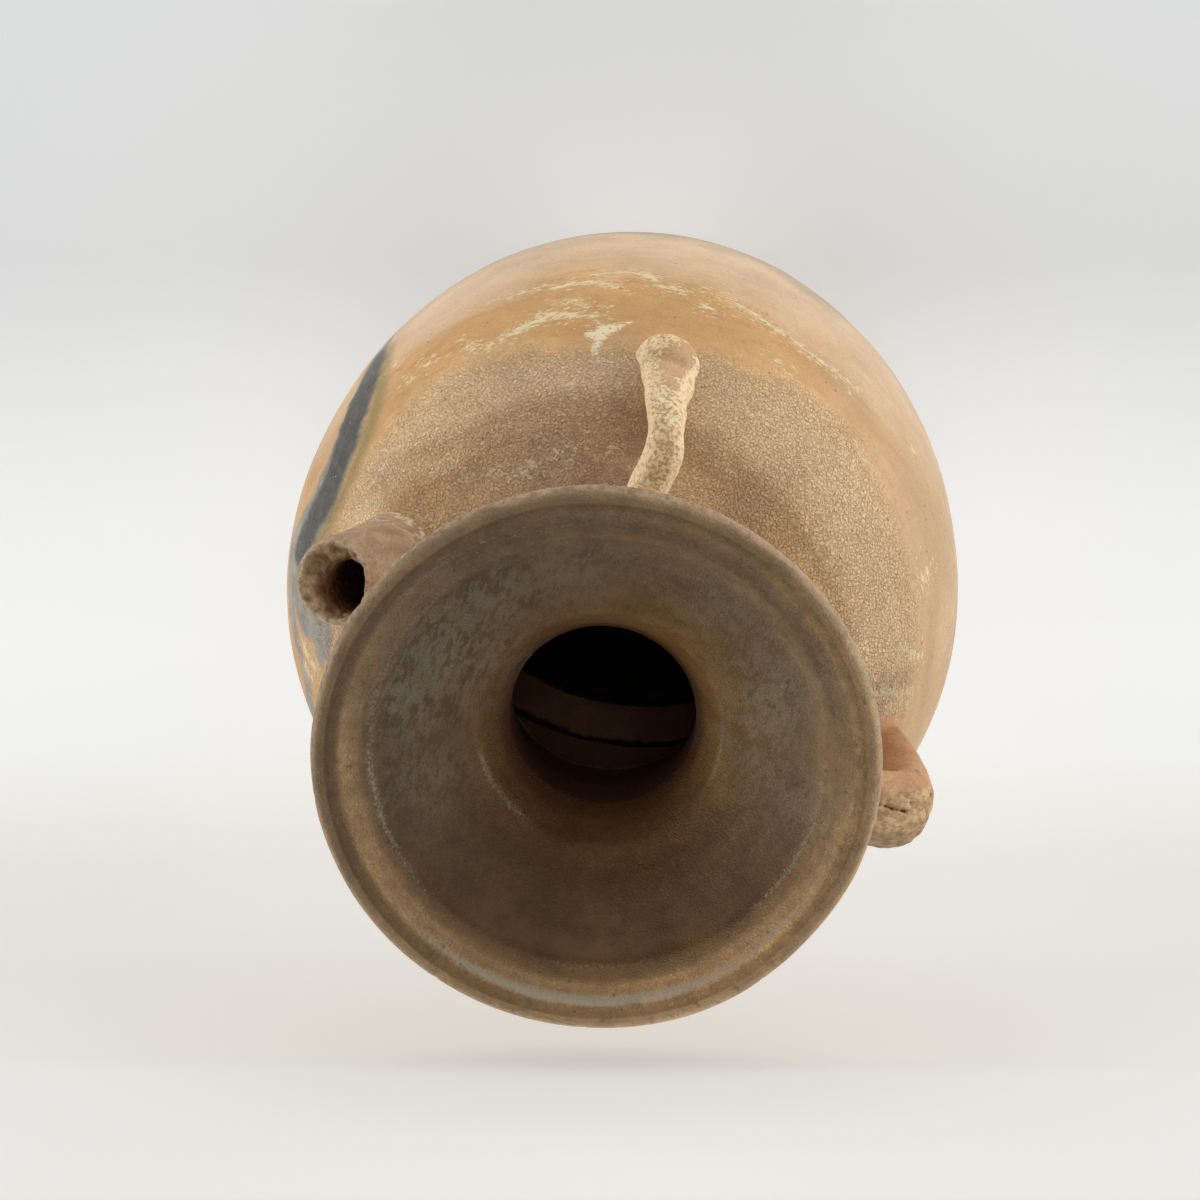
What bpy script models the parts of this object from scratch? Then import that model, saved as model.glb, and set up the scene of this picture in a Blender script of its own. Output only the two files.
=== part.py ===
"""Stoneware ewer: a turned ovoid body, a neck with a dish mouth let into its shoulder, and a short
spout, a strap handle and two cord lugs luted on.

Metres, +Z up. The origin is the centre of the foot's underside, and the spout points along +X.
Every turned outline is a list of (radius, height) pairs.
"""
import math

import bmesh
import bpy
from mathutils import Matrix, Vector

# Fits between pieces, and how finely round shapes are cut
SEAM_GAP = 0.0003
CUTTER_OVERRUN = 0.004
MERGE_DISTANCE = 0.00001
TURN_STEPS = 48
SPOUT_STEPS = 24
CURVE_STEPS = 3
HANDLE_SIDES = 14
LUG_SIDES = 12

# Body
FOOT_RADIUS = 0.053
FOOT_HEIGHT = 0.007
FOOT_CHAMFER = 0.0015
WAIST_RADIUS = 0.0505
BODY_RADIUS = 0.0768
WIDEST_HEIGHT = 0.107
SHOULDER_RISE = 0.061
BODY_WALL = 0.006
BODY_FLOOR = 0.008
BELLY_POWER = 2.5
SHOULDER_POWER = 2.0
BELLY_STEPS = 11
SHOULDER_STEPS = 9

# Neck and dish mouth
RIM_RADIUS = 0.059
MOUTH_RISE = 0.060
MOUTH_DEPTH = 0.035
MOUTH_WALL = 0.0055
LIP_RADIUS = 0.0032
LIP_STEPS = 8
THROAT_RADIUS = 0.0195
BORE_EASE = 0.0005
SPIGOT_LENGTH = 0.005
SPIGOT_WALL = 0.0037
SEAT_WIDTH = 0.006
FLARE_HEIGHT = 0.012
FLARE_STEPS = 5

# Spout: a tapered tube that leans out from the shoulder
SPOUT_LENGTH = 0.0252
SPOUT_LEAN = math.radians(27)
SPOUT_TIP_RADIUS = 0.0093
SPOUT_TIP_ROUND = 0.0008
SPOUT_SWELL_RADIUS = 0.0100
SPOUT_ROOT_RADIUS = 0.0113
SPOUT_LUTING_RADIUS = 0.0140
SPOUT_LUTING_HEIGHT = 0.0055
SPOUT_BORE_RADIUS = 0.0059
SPOUT_ROOT_SHARE = 0.80

# Strap handle, opposite the spout
HANDLE_AZIMUTH = math.radians(177.2)
HANDLE_WIDTH = 0.0162
HANDLE_THICKNESS = 0.0118
HANDLE_REACH = 0.0700
HANDLE_TOP_ABOVE_SEAT = 0.0122
HANDLE_ROOT_SHARE = 0.585

# Cord lugs, one on each side of the neck
LUG_AZIMUTH = math.radians(-78.5)
LUG_RADIUS = 0.0041
LUG_PAD_RADIUS = 0.0083
LUG_PAD_PROUD = 0.0040
LUG_ARCH_HEIGHT = 0.0136
LUG_PAD_SHARE = 0.59
LUG_CREST_SHARE = 0.86
LUG_NECK_RISE = 0.0085

# Shares of the mouth's width beyond the throat, and of its depth, down the inside of the dish
MOUTH_SHARES = (
    (0.98, 0.045), (0.905, 0.10), (0.83, 0.20), (0.73, 0.265), (0.49, 0.40),
    (0.28, 0.56), (0.16, 0.69), (0.06, 0.85), (0.0, 1.0),
)
# Share of the dish's width past which its underside is the lip's own bead
BEAD_SHARE = 0.95
LIP_INNER_TURN = math.radians(165)
LIP_UNDER_TURN = math.radians(-60)

# Shares of the handle's reach beyond the neck, and of its rise above its root, along its upper arm
HANDLE_ARM_SHARES = ((0.0, 0.98), (0.30, 1.0), (0.62, 1.02), (0.88, 0.95))
# Shares of the way from its root out to its reach, and of its rise, down its leg
HANDLE_LEG_SHARES = ((1.0, 0.78), (1.0, 0.58), (0.72, 0.36), (0.30, 0.15), (0.0, 0.0))
# Thickness along the handle as a share of its own: both ends are pressed out where they are luted
HANDLE_THICKNESS_SHARES = (1.3, 1.08, 1.0, 1.0, 1.02, 1.0, 1.02, 1.12, 1.2)

# Along a lug: how far it has come from its pressed pad to its crest, where its centreline lies, as a
# share of the arch above the shoulder or of the pad's depth below it, and its share of pad over coil
LUG_CLIMB_SHARES = (
    (-0.40, -2.07, 0.45), (-0.20, -1.03, 0.90), (0.0, -1.0, 1.0), (0.20, -0.67, 0.72),
    (0.42, 0.22, 0.10), (0.70, 0.75, 0.0), (1.0, 1.0, 0.0),
)
# From the crest to inside the neck: shares of the way in, and of the way from crest to neck height
LUG_RETURN_SHARES = ((0.30, 0.10), (0.62, 0.45), (1.0, 1.0))

# Worked out from the sizes above
SEAT_HEIGHT = WIDEST_HEIGHT + SHOULDER_RISE
RIM_HEIGHT = SEAT_HEIGHT + MOUTH_RISE
BORE_RADIUS = THROAT_RADIUS + BORE_EASE
SPIGOT_RADIUS = BORE_RADIUS + SPIGOT_WALL
OPENING_RADIUS = SPIGOT_RADIUS + SEAM_GAP
SEAT_RADIUS = OPENING_RADIUS + SEAT_WIDTH
NECK_RADIUS = THROAT_RADIUS + MOUTH_WALL
DISH_RADIUS = RIM_RADIUS - 2 * LIP_RADIUS

# Finish of each piece: colour, and roughness
GLAZES = {
    "body_glaze": ((0.42, 0.27, 0.155), 0.62),
    "mouth_glaze": ((0.26, 0.19, 0.125), 0.58),
    "spout_glaze": ((0.30, 0.20, 0.13), 0.66),
    "handle_glaze": ((0.43, 0.26, 0.14), 0.55),
    "lug_glaze": ((0.50, 0.35, 0.19), 0.70),
}


def swell(power, end_radius, widest, share):
    """Radius of a bulging wall, from its widest ring (share 0) to its end ring (share 1)."""
    whole = (1 - (end_radius / widest) ** power) ** (1 / power)
    return widest * (1 - (whole * share) ** power) ** (1 / power)


def eased_shares(steps):
    """Shares from 0 to 1 that crowd towards 1, where a bulging wall turns fastest."""
    return [math.sin(step / steps * math.pi / 2) for step in range(steps + 1)]


def shoulder(thinner=0.0, end_radius=SEAT_RADIUS, end_height=SEAT_HEIGHT):
    """The shoulder from its top ring down to the widest ring, or the same wall made thinner."""
    return [
        (
            swell(SHOULDER_POWER, end_radius, BODY_RADIUS - thinner, share),
            WIDEST_HEIGHT + share * (end_height - WIDEST_HEIGHT),
        )
        for share in reversed(eased_shares(SHOULDER_STEPS))
    ]


def belly(thinner=0.0, end_height=FOOT_HEIGHT):
    """The belly from just below the widest ring down to the waist above the foot."""
    return [
        (
            swell(BELLY_POWER, WAIST_RADIUS - thinner, BODY_RADIUS - thinner, share),
            WIDEST_HEIGHT - share * (WIDEST_HEIGHT - end_height),
        )
        for share in eased_shares(BELLY_STEPS)[1:]
    ]


def shoulder_point(share, height=0.0):
    """Where the shoulder has risen by this share, moved out along its normal by a height."""
    nudge = 1 / TURN_STEPS ** 2
    radius, lower = [swell(SHOULDER_POWER, SEAT_RADIUS, BODY_RADIUS, at) for at in (share, share - nudge)]
    slope = math.atan2(lower - radius, nudge * SHOULDER_RISE)
    rise = WIDEST_HEIGHT + share * SHOULDER_RISE
    return radius + height * math.cos(slope), rise + height * math.sin(slope)


def smooth(points, steps=CURVE_STEPS):
    """A Catmull-Rom curve through points of any dimension, with this many steps a span."""
    knots = [Vector(point) for point in points]
    knots = [2 * knots[0] - knots[1]] + knots + [2 * knots[-1] - knots[-2]]
    curve = []
    for before, start, end, after in zip(knots, knots[1:], knots[2:], knots[3:]):
        for step in range(steps):
            t = step / steps
            curve.append(
                start
                + (end - before) * t / 2
                + (2 * before - 5 * start + 4 * end - after) * t ** 2 / 2
                + (3 * start - before - 3 * end + after) * t ** 3 / 2
            )
    return [tuple(point) for point in curve + [knots[-2]]]


def thickened(points, wall):
    """An outline moved outwards by a wall: away from the axis where the outline runs down."""
    moved = []
    for index, point in enumerate(points):
        before = Vector(points[max(index - 1, 0)])
        after = Vector(points[min(index + 1, len(points) - 1)])
        along = (after - before).normalized()
        moved.append((point[0] - along.y * wall, point[1] + along.x * wall))
    return moved


def dish_inside():
    """The inside of the mouth, from the foot of its lip down to the throat."""
    width = DISH_RADIUS - THROAT_RADIUS
    return smooth(
        [(THROAT_RADIUS + out * width, RIM_HEIGHT - down * MOUTH_DEPTH) for out, down in MOUTH_SHARES],
        CURVE_STEPS - 1,
    )


def lip():
    """The rounded lip, from its inner side over its top and round to its underside."""
    centre = Vector((RIM_RADIUS - LIP_RADIUS, RIM_HEIGHT - LIP_RADIUS))
    swing = LIP_UNDER_TURN - LIP_INNER_TURN
    turns = [LIP_INNER_TURN + step / LIP_STEPS * swing for step in range(LIP_STEPS + 1)]
    return [tuple(centre + LIP_RADIUS * Vector((math.cos(turn), math.sin(turn)))) for turn in turns]


def neck_outside():
    """The outside of the mouth and neck, from the lip's underside down to the seat on the shoulder."""
    limit = THROAT_RADIUS + BEAD_SHARE * (DISH_RADIUS - THROAT_RADIUS)
    inside = dish_inside()
    under = [out for out, own in zip(thickened(inside, MOUTH_WALL), inside) if own[0] < limit]
    flare = []
    for step in range(FLARE_STEPS + 1):
        turn = step / FLARE_STEPS * math.pi / 2
        flare.append((
            NECK_RADIUS + (SEAT_RADIUS - NECK_RADIUS) * (1 - math.cos(turn)),
            SEAT_HEIGHT + SEAM_GAP + FLARE_HEIGHT * (1 - math.sin(turn)),
        ))
    return under + flare


def vessel_outside():
    """The whole outside of the vessel, down from its lip, that attached pieces are fitted to."""
    return lip()[LIP_STEPS // 2:] + neck_outside()[:-1] + shoulder() + belly()


def glaze(piece, name):
    """Give a piece its fired glaze. Two pieces of one finish share it."""
    made = bpy.data.materials.get(name) or bpy.data.materials.new(name)
    colour, roughness = GLAZES[name]
    made.use_nodes = True
    shader = made.node_tree.nodes["Principled BSDF"]
    shader.inputs["Base Color"].default_value = (*colour, 1)
    shader.inputs["Roughness"].default_value = roughness
    shader.inputs["Metallic"].default_value = 0
    piece.data.materials.append(made)


def put(mesh, name, collection, parent=None):
    placed = bpy.data.objects.new(name, mesh)
    collection.objects.link(placed)
    placed.parent = parent
    return placed


def hide_cutter(cutter):
    cutter.hide_render = True
    cutter.display_type = "WIRE"
    return cutter


def turned(name, outline, collection, parent=None, closed=False, steps=TURN_STEPS):
    """An outline turned about Z. It runs down the piece's outer side."""
    ends = list(range(len(outline)))
    edges = list(zip(ends, ends[1:] + ends[:1] if closed else ends[1:]))
    mesh = bpy.data.meshes.new(name)
    mesh.from_pydata([(radius, 0, height) for radius, height in outline], edges, [])
    piece = put(mesh, name, collection, parent)
    screw = piece.modifiers.new("turn", "SCREW")
    screw.angle = 2 * math.pi
    screw.steps = steps
    screw.render_steps = steps
    screw.use_merge_vertices = True
    screw.merge_threshold = MERGE_DISTANCE
    screw.use_smooth_shade = True
    return piece


def swept(name, course, widen, sides, collection, parent=None):
    """A tube along a course of (out, height, own radius) in the XZ plane, widened across it, as a mesh."""
    thickest = max(radius for out, height, radius in course)
    curve = bpy.data.curves.new(name, "CURVE")
    curve.dimensions = "3D"
    curve.bevel_depth = thickest
    curve.bevel_resolution = (sides - 4) // 2
    curve.use_fill_caps = True
    spline = curve.splines.new("POLY")
    spline.points.add(len(course) - 1)
    for point, (out, height, radius) in zip(spline.points, course):
        point.co = (out, 0, height, 1)
        point.radius = radius / thickest
    tube = put(curve, name + "_path", collection, parent)
    bpy.context.view_layer.update()
    solid = tube.evaluated_get(bpy.context.evaluated_depsgraph_get())
    mesh = bpy.data.meshes.new_from_object(solid)
    mesh.name = name
    mesh.transform(Matrix.Diagonal((1, widen, 1, 1)))
    welded = bmesh.new()
    welded.from_mesh(mesh)
    bmesh.ops.remove_doubles(welded, verts=welded.verts, dist=MERGE_DISTANCE)
    bmesh.ops.recalc_face_normals(welded, faces=welded.faces)
    welded.to_mesh(mesh)
    welded.free()
    mesh.shade_smooth()
    piece = put(mesh, name, collection, parent)
    piece.matrix_world = tube.matrix_world
    bpy.data.objects.remove(tube)
    return piece


def cut(piece, cutter):
    trim = piece.modifiers.new("fit_to_" + cutter.name, "BOOLEAN")
    trim.operation = "DIFFERENCE"
    trim.solver = "EXACT"
    trim.object = cutter
    return piece


def make_envelope(cutters, parent):
    """The vessel's outside, larger by the seam gap: what is luted on is fitted to it."""
    outside = thickened(vessel_outside(), SEAM_GAP)
    outline = [(0, outside[0][1])] + outside + [(0, outside[-1][1])]
    return hide_cutter(turned("envelope", outline, cutters, parent))


def make_body(parts, parent):
    """The one wall from the floor's top up its inside, out over the shoulder and down to the foot."""
    floor_corner = WAIST_RADIUS - BODY_WALL
    inside = (
        shoulder(BODY_WALL, OPENING_RADIUS, SEAT_HEIGHT - BODY_WALL)
        + belly(BODY_WALL, BODY_FLOOR + BODY_WALL / 2)
    )
    foot = [
        (FOOT_RADIUS, FOOT_HEIGHT - FOOT_CHAMFER / 2), (FOOT_RADIUS, FOOT_CHAMFER),
        (FOOT_RADIUS - FOOT_CHAMFER, 0), (0, 0),
    ]
    outline = (
        [(0, BODY_FLOOR), (floor_corner - BODY_WALL / 2, BODY_FLOOR)]
        + inside[::-1]
        + [(OPENING_RADIUS, SEAT_HEIGHT)]
        + shoulder() + belly() + foot
    )
    return turned("body", outline, parts, parent)


def make_neck(parts, parent):
    """The dish mouth on its neck, which seats on the shoulder with a spigot let into its opening."""
    spigot_foot = SEAT_HEIGHT - SPIGOT_LENGTH
    spigot = [
        (SPIGOT_RADIUS, SEAT_HEIGHT + SEAM_GAP), (SPIGOT_RADIUS, spigot_foot), (BORE_RADIUS, spigot_foot),
        (BORE_RADIUS, SEAT_HEIGHT + FLARE_HEIGHT / 2),
    ]
    outline = lip() + neck_outside() + spigot + dish_inside()[::-1]
    return turned("neck_and_mouth", outline, parts, parent, closed=True)


def spout_pose():
    """The spout's root on the shoulder, turned to lean out over +X."""
    radius, height = shoulder_point(SPOUT_ROOT_SHARE)
    return Matrix.Translation((radius, 0, height)) @ Matrix.Rotation(SPOUT_LEAN, 4, "Y")


def make_spout(parts, parent):
    """The tapered tube, whose luted root runs on below the shoulder for the envelope to trim."""
    buried = -SPOUT_LUTING_RADIUS
    tip = SPOUT_LENGTH
    mid = (SPOUT_LENGTH + SPOUT_LUTING_HEIGHT) / 2
    outline = [
        (SPOUT_BORE_RADIUS + SPOUT_TIP_ROUND, tip),
        (SPOUT_TIP_RADIUS - SPOUT_TIP_ROUND, tip),
        (SPOUT_TIP_RADIUS, tip - SPOUT_TIP_ROUND),
        (SPOUT_SWELL_RADIUS, tip - SPOUT_TIP_RADIUS / 2),
        ((SPOUT_SWELL_RADIUS + SPOUT_ROOT_RADIUS) / 2, mid),
        (SPOUT_ROOT_RADIUS, SPOUT_LUTING_HEIGHT),
        ((2 * SPOUT_ROOT_RADIUS + SPOUT_LUTING_RADIUS) / 3, SPOUT_LUTING_HEIGHT / 3),
        (SPOUT_LUTING_RADIUS, -SPOUT_LUTING_HEIGHT),
        (SPOUT_LUTING_RADIUS, buried),
        (SPOUT_BORE_RADIUS, buried),
        (SPOUT_BORE_RADIUS, tip - SPOUT_TIP_ROUND),
    ]
    spout = turned("spout", outline, parts, parent, closed=True, steps=SPOUT_STEPS)
    spout.matrix_world = spout_pose()
    return spout


def make_spout_hole(cutters, parent):
    """The hole through the shoulder's wall, in line with the spout's bore."""
    depth = 2 * BODY_WALL + CUTTER_OVERRUN
    height = SPOUT_BORE_RADIUS + CUTTER_OVERRUN
    drill = bmesh.new()
    bmesh.ops.create_cone(
        drill, cap_ends=True, segments=SPOUT_STEPS, radius1=SPOUT_BORE_RADIUS, radius2=SPOUT_BORE_RADIUS,
        depth=depth + height, matrix=Matrix.Translation((0, 0, (height - depth) / 2)),
    )
    mesh = bpy.data.meshes.new("spout_hole")
    drill.to_mesh(mesh)
    drill.free()
    hole = put(mesh, "spout_hole", cutters, parent)
    hole.matrix_world = spout_pose()
    return hide_cutter(hole)


def make_handle(parts, parent):
    """The strap from the neck out to its reach and down to the shoulder; both ends run into the vessel."""
    root_out, root_height = shoulder_point(HANDLE_ROOT_SHARE, -HANDLE_THICKNESS / 2)
    rise = SEAT_HEIGHT + HANDLE_TOP_ABOVE_SEAT - root_height
    start = NECK_RADIUS / 2
    course = []
    for inner, shares in ((start, HANDLE_ARM_SHARES), (root_out, HANDLE_LEG_SHARES)):
        for out, up in shares:
            thickness = HANDLE_THICKNESS * HANDLE_THICKNESS_SHARES[len(course)]
            course.append((inner + out * (HANDLE_REACH - inner), root_height + up * rise, thickness / 2))
    handle = swept("handle", smooth(course), HANDLE_WIDTH / HANDLE_THICKNESS, HANDLE_SIDES, parts, parent)
    handle.rotation_euler.z = HANDLE_AZIMUTH
    return handle


def make_lug(name, azimuth, parts, parent):
    """A coil pressed flat on the shoulder, arched over a cord's width and luted to the neck's root."""
    sunk = LUG_PAD_RADIUS - LUG_PAD_PROUD
    course = []
    for along, up, pad in LUG_CLIMB_SHARES:
        share = LUG_PAD_SHARE + along * (LUG_CREST_SHARE - LUG_PAD_SHARE)
        height = up * (LUG_ARCH_HEIGHT if up > 0 else sunk)
        radius = LUG_RADIUS + pad * (LUG_PAD_RADIUS - LUG_RADIUS)
        course.append((*shoulder_point(share, height), radius))
    crest_out, crest_height = course[-1][:2]
    neck_out, neck_height = NECK_RADIUS / 2, SEAT_HEIGHT + LUG_NECK_RISE
    for inwards, across in LUG_RETURN_SHARES:
        out = crest_out + inwards * (neck_out - crest_out)
        height = crest_height + across * (neck_height - crest_height)
        course.append((out, height, LUG_RADIUS))
    lug = swept(name, smooth(course), 1, LUG_SIDES, parts, parent)
    lug.rotation_euler.z = azimuth
    return lug


def clear_scene():
    for old in list(bpy.data.objects):
        bpy.data.objects.remove(old)


def collection(name):
    made = bpy.data.collections.new(name)
    bpy.context.scene.collection.children.link(made)
    return made


def main():
    clear_scene()
    parts = collection("ewer")
    cutters = collection("cutters")
    axis = bpy.data.objects.new("ewer_axis", None)
    parts.objects.link(axis)

    envelope = make_envelope(cutters, axis)
    hole = make_spout_hole(cutters, axis)
    body = cut(make_body(parts, axis), hole)
    neck = make_neck(parts, axis)
    spout = cut(make_spout(parts, axis), envelope)
    handle = cut(make_handle(parts, axis), envelope)
    front_lug = cut(make_lug("front_lug", LUG_AZIMUTH, parts, axis), envelope)
    back_lug = cut(make_lug("back_lug", LUG_AZIMUTH + math.pi, parts, axis), envelope)

    glaze(body, "body_glaze")
    glaze(neck, "mouth_glaze")
    glaze(spout, "spout_glaze")
    glaze(handle, "handle_glaze")
    glaze(front_lug, "lug_glaze")
    glaze(back_lug, "lug_glaze")


main()
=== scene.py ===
"""Stoneware ewer: its fired surfaces, glazes and wear, with a floor, light and camera.

Metres, +Z up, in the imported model's frame: the origin is the foot's centre and the spout points
along +X. Places on the vessel are given as an azimuth in degrees from +X with a height or a radius
in millimetres, and the tables' other lengths are in millimetres too where nothing else is said.
"""

import math
from types import SimpleNamespace

import bmesh
import bpy
import numpy as np
from mathutils import Matrix, Vector, noise
from mathutils.bvhtree import BVHTree


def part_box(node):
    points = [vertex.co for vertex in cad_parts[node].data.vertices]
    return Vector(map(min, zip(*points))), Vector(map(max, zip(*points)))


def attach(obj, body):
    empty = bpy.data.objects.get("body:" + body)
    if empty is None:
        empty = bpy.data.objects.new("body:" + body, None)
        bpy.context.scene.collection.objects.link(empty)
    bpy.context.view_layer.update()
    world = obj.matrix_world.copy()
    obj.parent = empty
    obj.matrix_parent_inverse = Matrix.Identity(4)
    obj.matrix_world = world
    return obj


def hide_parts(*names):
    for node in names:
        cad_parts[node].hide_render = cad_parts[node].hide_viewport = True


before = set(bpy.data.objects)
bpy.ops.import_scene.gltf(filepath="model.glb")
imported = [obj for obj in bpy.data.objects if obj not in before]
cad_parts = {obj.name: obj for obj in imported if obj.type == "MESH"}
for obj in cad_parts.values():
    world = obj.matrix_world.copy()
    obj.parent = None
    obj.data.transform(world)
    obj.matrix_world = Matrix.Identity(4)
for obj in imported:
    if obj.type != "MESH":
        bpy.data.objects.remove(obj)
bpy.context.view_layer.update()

MM = 0.001
TINY = 0.000002

# Camera, fitted to the outlines of the mouth, throat and body in an image of this many pixels
IMAGE_SIZE = 1200
FOCAL_PIXELS = 4883.3
SENSOR_MM = 36.0
CAMERA_DISTANCE = 1.0
CAMERA_TILT = math.radians(17.177)
CAMERA_ROLL = math.radians(2.889)
CAMERA_SHIFT_MM = (1.046, 34.023)
IMAGE_RIGHT_AZIMUTH = -157.5
IMAGE_UP_AZIMUTH = IMAGE_RIGHT_AZIMUTH + 90

# How finely the surfaces are drawn, and how many points are compared at once
COLUMNS = 360
OUTER_SPACING = 1.0 * MM
INNER_SPACING = 2.2 * MM
MOUTH_SPACING = 0.65 * MM
CORNER_DEGREES = 35
DENSE_STEPS = 24
BATCH = 8000
WELD_GAP = 0.0000002

# Rows are drawn more coarsely inside above one height, outside below another, and on the underside
FINE_INSIDE_TOP = 0.070
FINE_OUTSIDE_FOOT = 0.085
UNDERSIDE = 0.001

# Inside the lip a notch is smoothed, in the rows near this radius
NOTCH_ROUNDS = 10
NOTCH_RADIUS, NOTCH_WIDTH = 0.0525, 0.0022

# The top and widest radius of the throat's bore, the dish's foot, and the neck's seat
BORE_TOP = 0.193
BORE_RADIUS = 0.0236
DISH_FOOT = 0.200
NECK_SEAT = 0.1683

# Luted pieces sink into the vessel within a reach of it, where their solids keep a seam gap, and are
# wiped out onto it below a height. Half the body's wall tells its inside from its outside
SEAM_REACH = 0.8 * MM
SEAM_SINK = 1.3 * MM
SMEAR_HEIGHT = 2.6
HALF_WALL = 3

# Throwing rings inside the body
RING_PITCH = 12.6 * MM
RING_DEPTH = 1.5 * MM
RING_START = 22.6 * MM
RING_AZIMUTH = 101

# Below the throat the neck's bore widens, as a thrown neck does: height and radius
BORE_FLARE = ((160, 23.2), (166, 23.0), (172, 22.2), (178, 20.9), (184, 19.4), (190, 18.0))

# Spout: its axis, and the bore, which was pierced off centre
SPOUT_ROOT = Vector((0.0520, 0, 0.1558))
SPOUT_LEAN = math.radians(27)
SPOUT_LENGTH = 25.2 * MM
SPOUT_BORE_RADIUS = 5.6 * MM
BORE_OFFSET = 2.7 * MM
DRILL_LENGTH = 34 * MM
DRILL_BACK = 4 * MM

# Where the spout's features begin and end: away from its axis, up from its root, down from its tip
BORE_MELT = np.array((6.3, 8.4)) * MM
MOUTH_MELT = np.array((5.6, 8.8)) * MM
RING_AWAY = np.array((7.0, 8.8)) * MM
BORE_AWAY = 7.4 * MM
ROOT_SLIP = np.array((1, 7)) * MM
FACE_DOWN, SINK_DOWN, BORE_DOWN, DEEP_DOWN = (
    SPOUT_LENGTH - np.array(span) * MM for span in ((1.6, 0.6), (9, 0), (2.2, 0.3), (13, 4))
)
SINK_DEPTH = 3.0 * MM

# Lugs: how far the coil sways to one side, and how wide it is, along its radius; and where its pad is
# worn bare, at a radius and to one side
LUG_SWAY = ((38, 0.0), (42, 0.4), (46, 1.2), (50, 2.2), (54, 2.7), (58, 2.1), (62, 0.7), (66, -0.1),
            (72, -0.2))
LUG_WIDTH = ((38, 1.0), (42, 1.02), (46, 1.08), (50, 1.08), (54, 1.0), (58, 0.96), (62, 1.10),
             (66, 1.12), (72, 1.1))
PAD_RADIUS = 66.8
PAD_SIDE = -1.6

# Handle, in pixels of the fitted image: where its shoulder swells, where its flank is smooth, where painted
# shade darkens its foot by the rim, and the rows between which its near side is shaved off
SWELL_PIXEL = (912, 760)
SWELL_SPREAD = 42
SWELL_HEIGHT = 2.3 * MM
FLANK_PIXEL = (893, 768)
FLANK_SPREAD = 34
FLANK_FOOT = (774, 796)
CROOK_SHADE_PIXEL = (878, 779)
CROOK_SHADE_SPREAD = 24
SHAVE_TOP = 764
SHAVE_FOOT = 792
SHAVE_DEPTH = 2.2 * MM

# Lumps in the clay: size in metres, or one for each axis, then layers, seed and height in millimetres
BODY_LUMPS = ((0.034, 3, 0.0, 0.20), ((0.05, 0.05, 0.0026), 3, 7.0, 0.07))
MOUTH_LUMPS = ((0.030, 3, 0.0, 0.16),)
SPOUT_LUMPS = ((0.009, 3, 2.0, 0.30), (0.0018, 2, 9.0, 0.07))
HANDLE_LUMPS = ((0.012, 3, 1.0, 0.35),)
LUG_LUMPS = ((0.007, 3, 1.5, 0.28), (0.0013, 2, 4.0, 0.07))

# A bead inside the lip, a groove in its top, and rings in the dish: radius, half width and height
LIP_BEAD = (52.4, 0.9, 0.20)
LIP_GROOVE = (56.0, 1.2, -0.34)
DISH_RINGS = ((49.2, 0.6, 0.14), (50.4, 0.8, -0.22), (46.8, 0.9, 0.35), (44.6, 1.5, -0.30),
              (38, 3, -0.15), (25.6, 1.3, 0.35), (29.5, 1.8, -0.2))

# Painted strokes: azimuth, height and half width along each
SLATE_STROKES = (
    ((-20.5, 66, 2.5), (-20.5, 80, 3.2), (-20.5, 92, 4), (-20.5, 101, 4.4), (-20.3, 109, 4.5),
     (-18.8, 116, 5.2), (-15.5, 122.5, 5.8), (-10, 128, 6.0), (-4, 130.2, 6.4), (2, 130, 6.6),
     (7, 127, 7), (11, 124.5, 5.5), (15.5, 128.5, 4.5), (18.5, 134, 5.8), (21, 139.5, 6.6),
     (24, 141, 4.6), (27, 140, 1.6)),
    ((11, 119, 3.2), (18, 123, 3.4), (25, 127, 2.6), (32, 130.5, 2.2), (38, 128, 3), (44, 120, 4.2),
     (48, 108, 5), (47, 94, 4.5), (41, 86, 3), (33, 88, 2)),
    ((116, 82, 3), (127, 90, 5), (136, 102, 6.8), (140, 115, 7.4), (138, 126, 6.4), (130, 133, 5.4),
     (119, 134, 4.2), (110, 128, 3.4), (107, 119, 2.6)),
    ((142, 118, 5), (150, 110, 4.5), (156, 98, 4), (158, 86, 3), (156, 76, 2)),
)
INK_STROKES = (
    ((-20.6, 90, 2.6), (-20.8, 101, 3.9), (-20.6, 109, 4.6), (-19.0, 115.8, 5.3), (-15.8, 122.6, 5.6),
     (-10.2, 128.4, 5.6), (-4, 130.8, 5.5), (2, 130.6, 5.3), (7, 128.2, 4.8), (10.5, 126, 3.6)),
    ((42, 118, 1.6), (45.5, 108, 2.6), (45, 97, 2)),
    ((131, 96, 2), (136, 107, 4), (137, 118, 4.2), (132, 127, 3.4), (123, 131, 2.4)),
)
GREEN_STROKES = (
    ((-24.2, 96, 1.0), (-24.4, 106, 1.4), (-23.9, 116, 1.7), (-21.6, 126, 1.9), (-17.2, 132.4, 1.9),
     (-11, 136, 1.8), (-4, 137.3, 1.5), (3, 136.6, 1.4), (8, 134, 1.2)),
    ((40, 121, 1.2), (43.5, 112, 2), (43, 100, 1.6)),
    ((131, 96, 1.5), (132.5, 108, 2.4), (132, 119, 2.6), (126, 127, 2.2), (117, 129, 1.6)),
)
OLIVE_BANDS = (
    ((-22, 146.5, 1), (-32, 149.8, 1.6), (-48, 150.6, 2.2), (-57, 151, 2.6), (-66, 151.8, 2.6),
     (-73, 153.5, 2.2), (-86, 154.6, 1.2), (-98, 155.8, 1.0), (-111, 156.6, 1.7), (-126, 157, 1.6),
     (-139, 156.4, 1.2), (-153, 155.4, 0.8)),
    ((15, 149, 1.2), (45, 151, 2), (80, 152, 2.2), (110, 154, 1.6), (150, 153, 1.2)),
)

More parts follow.
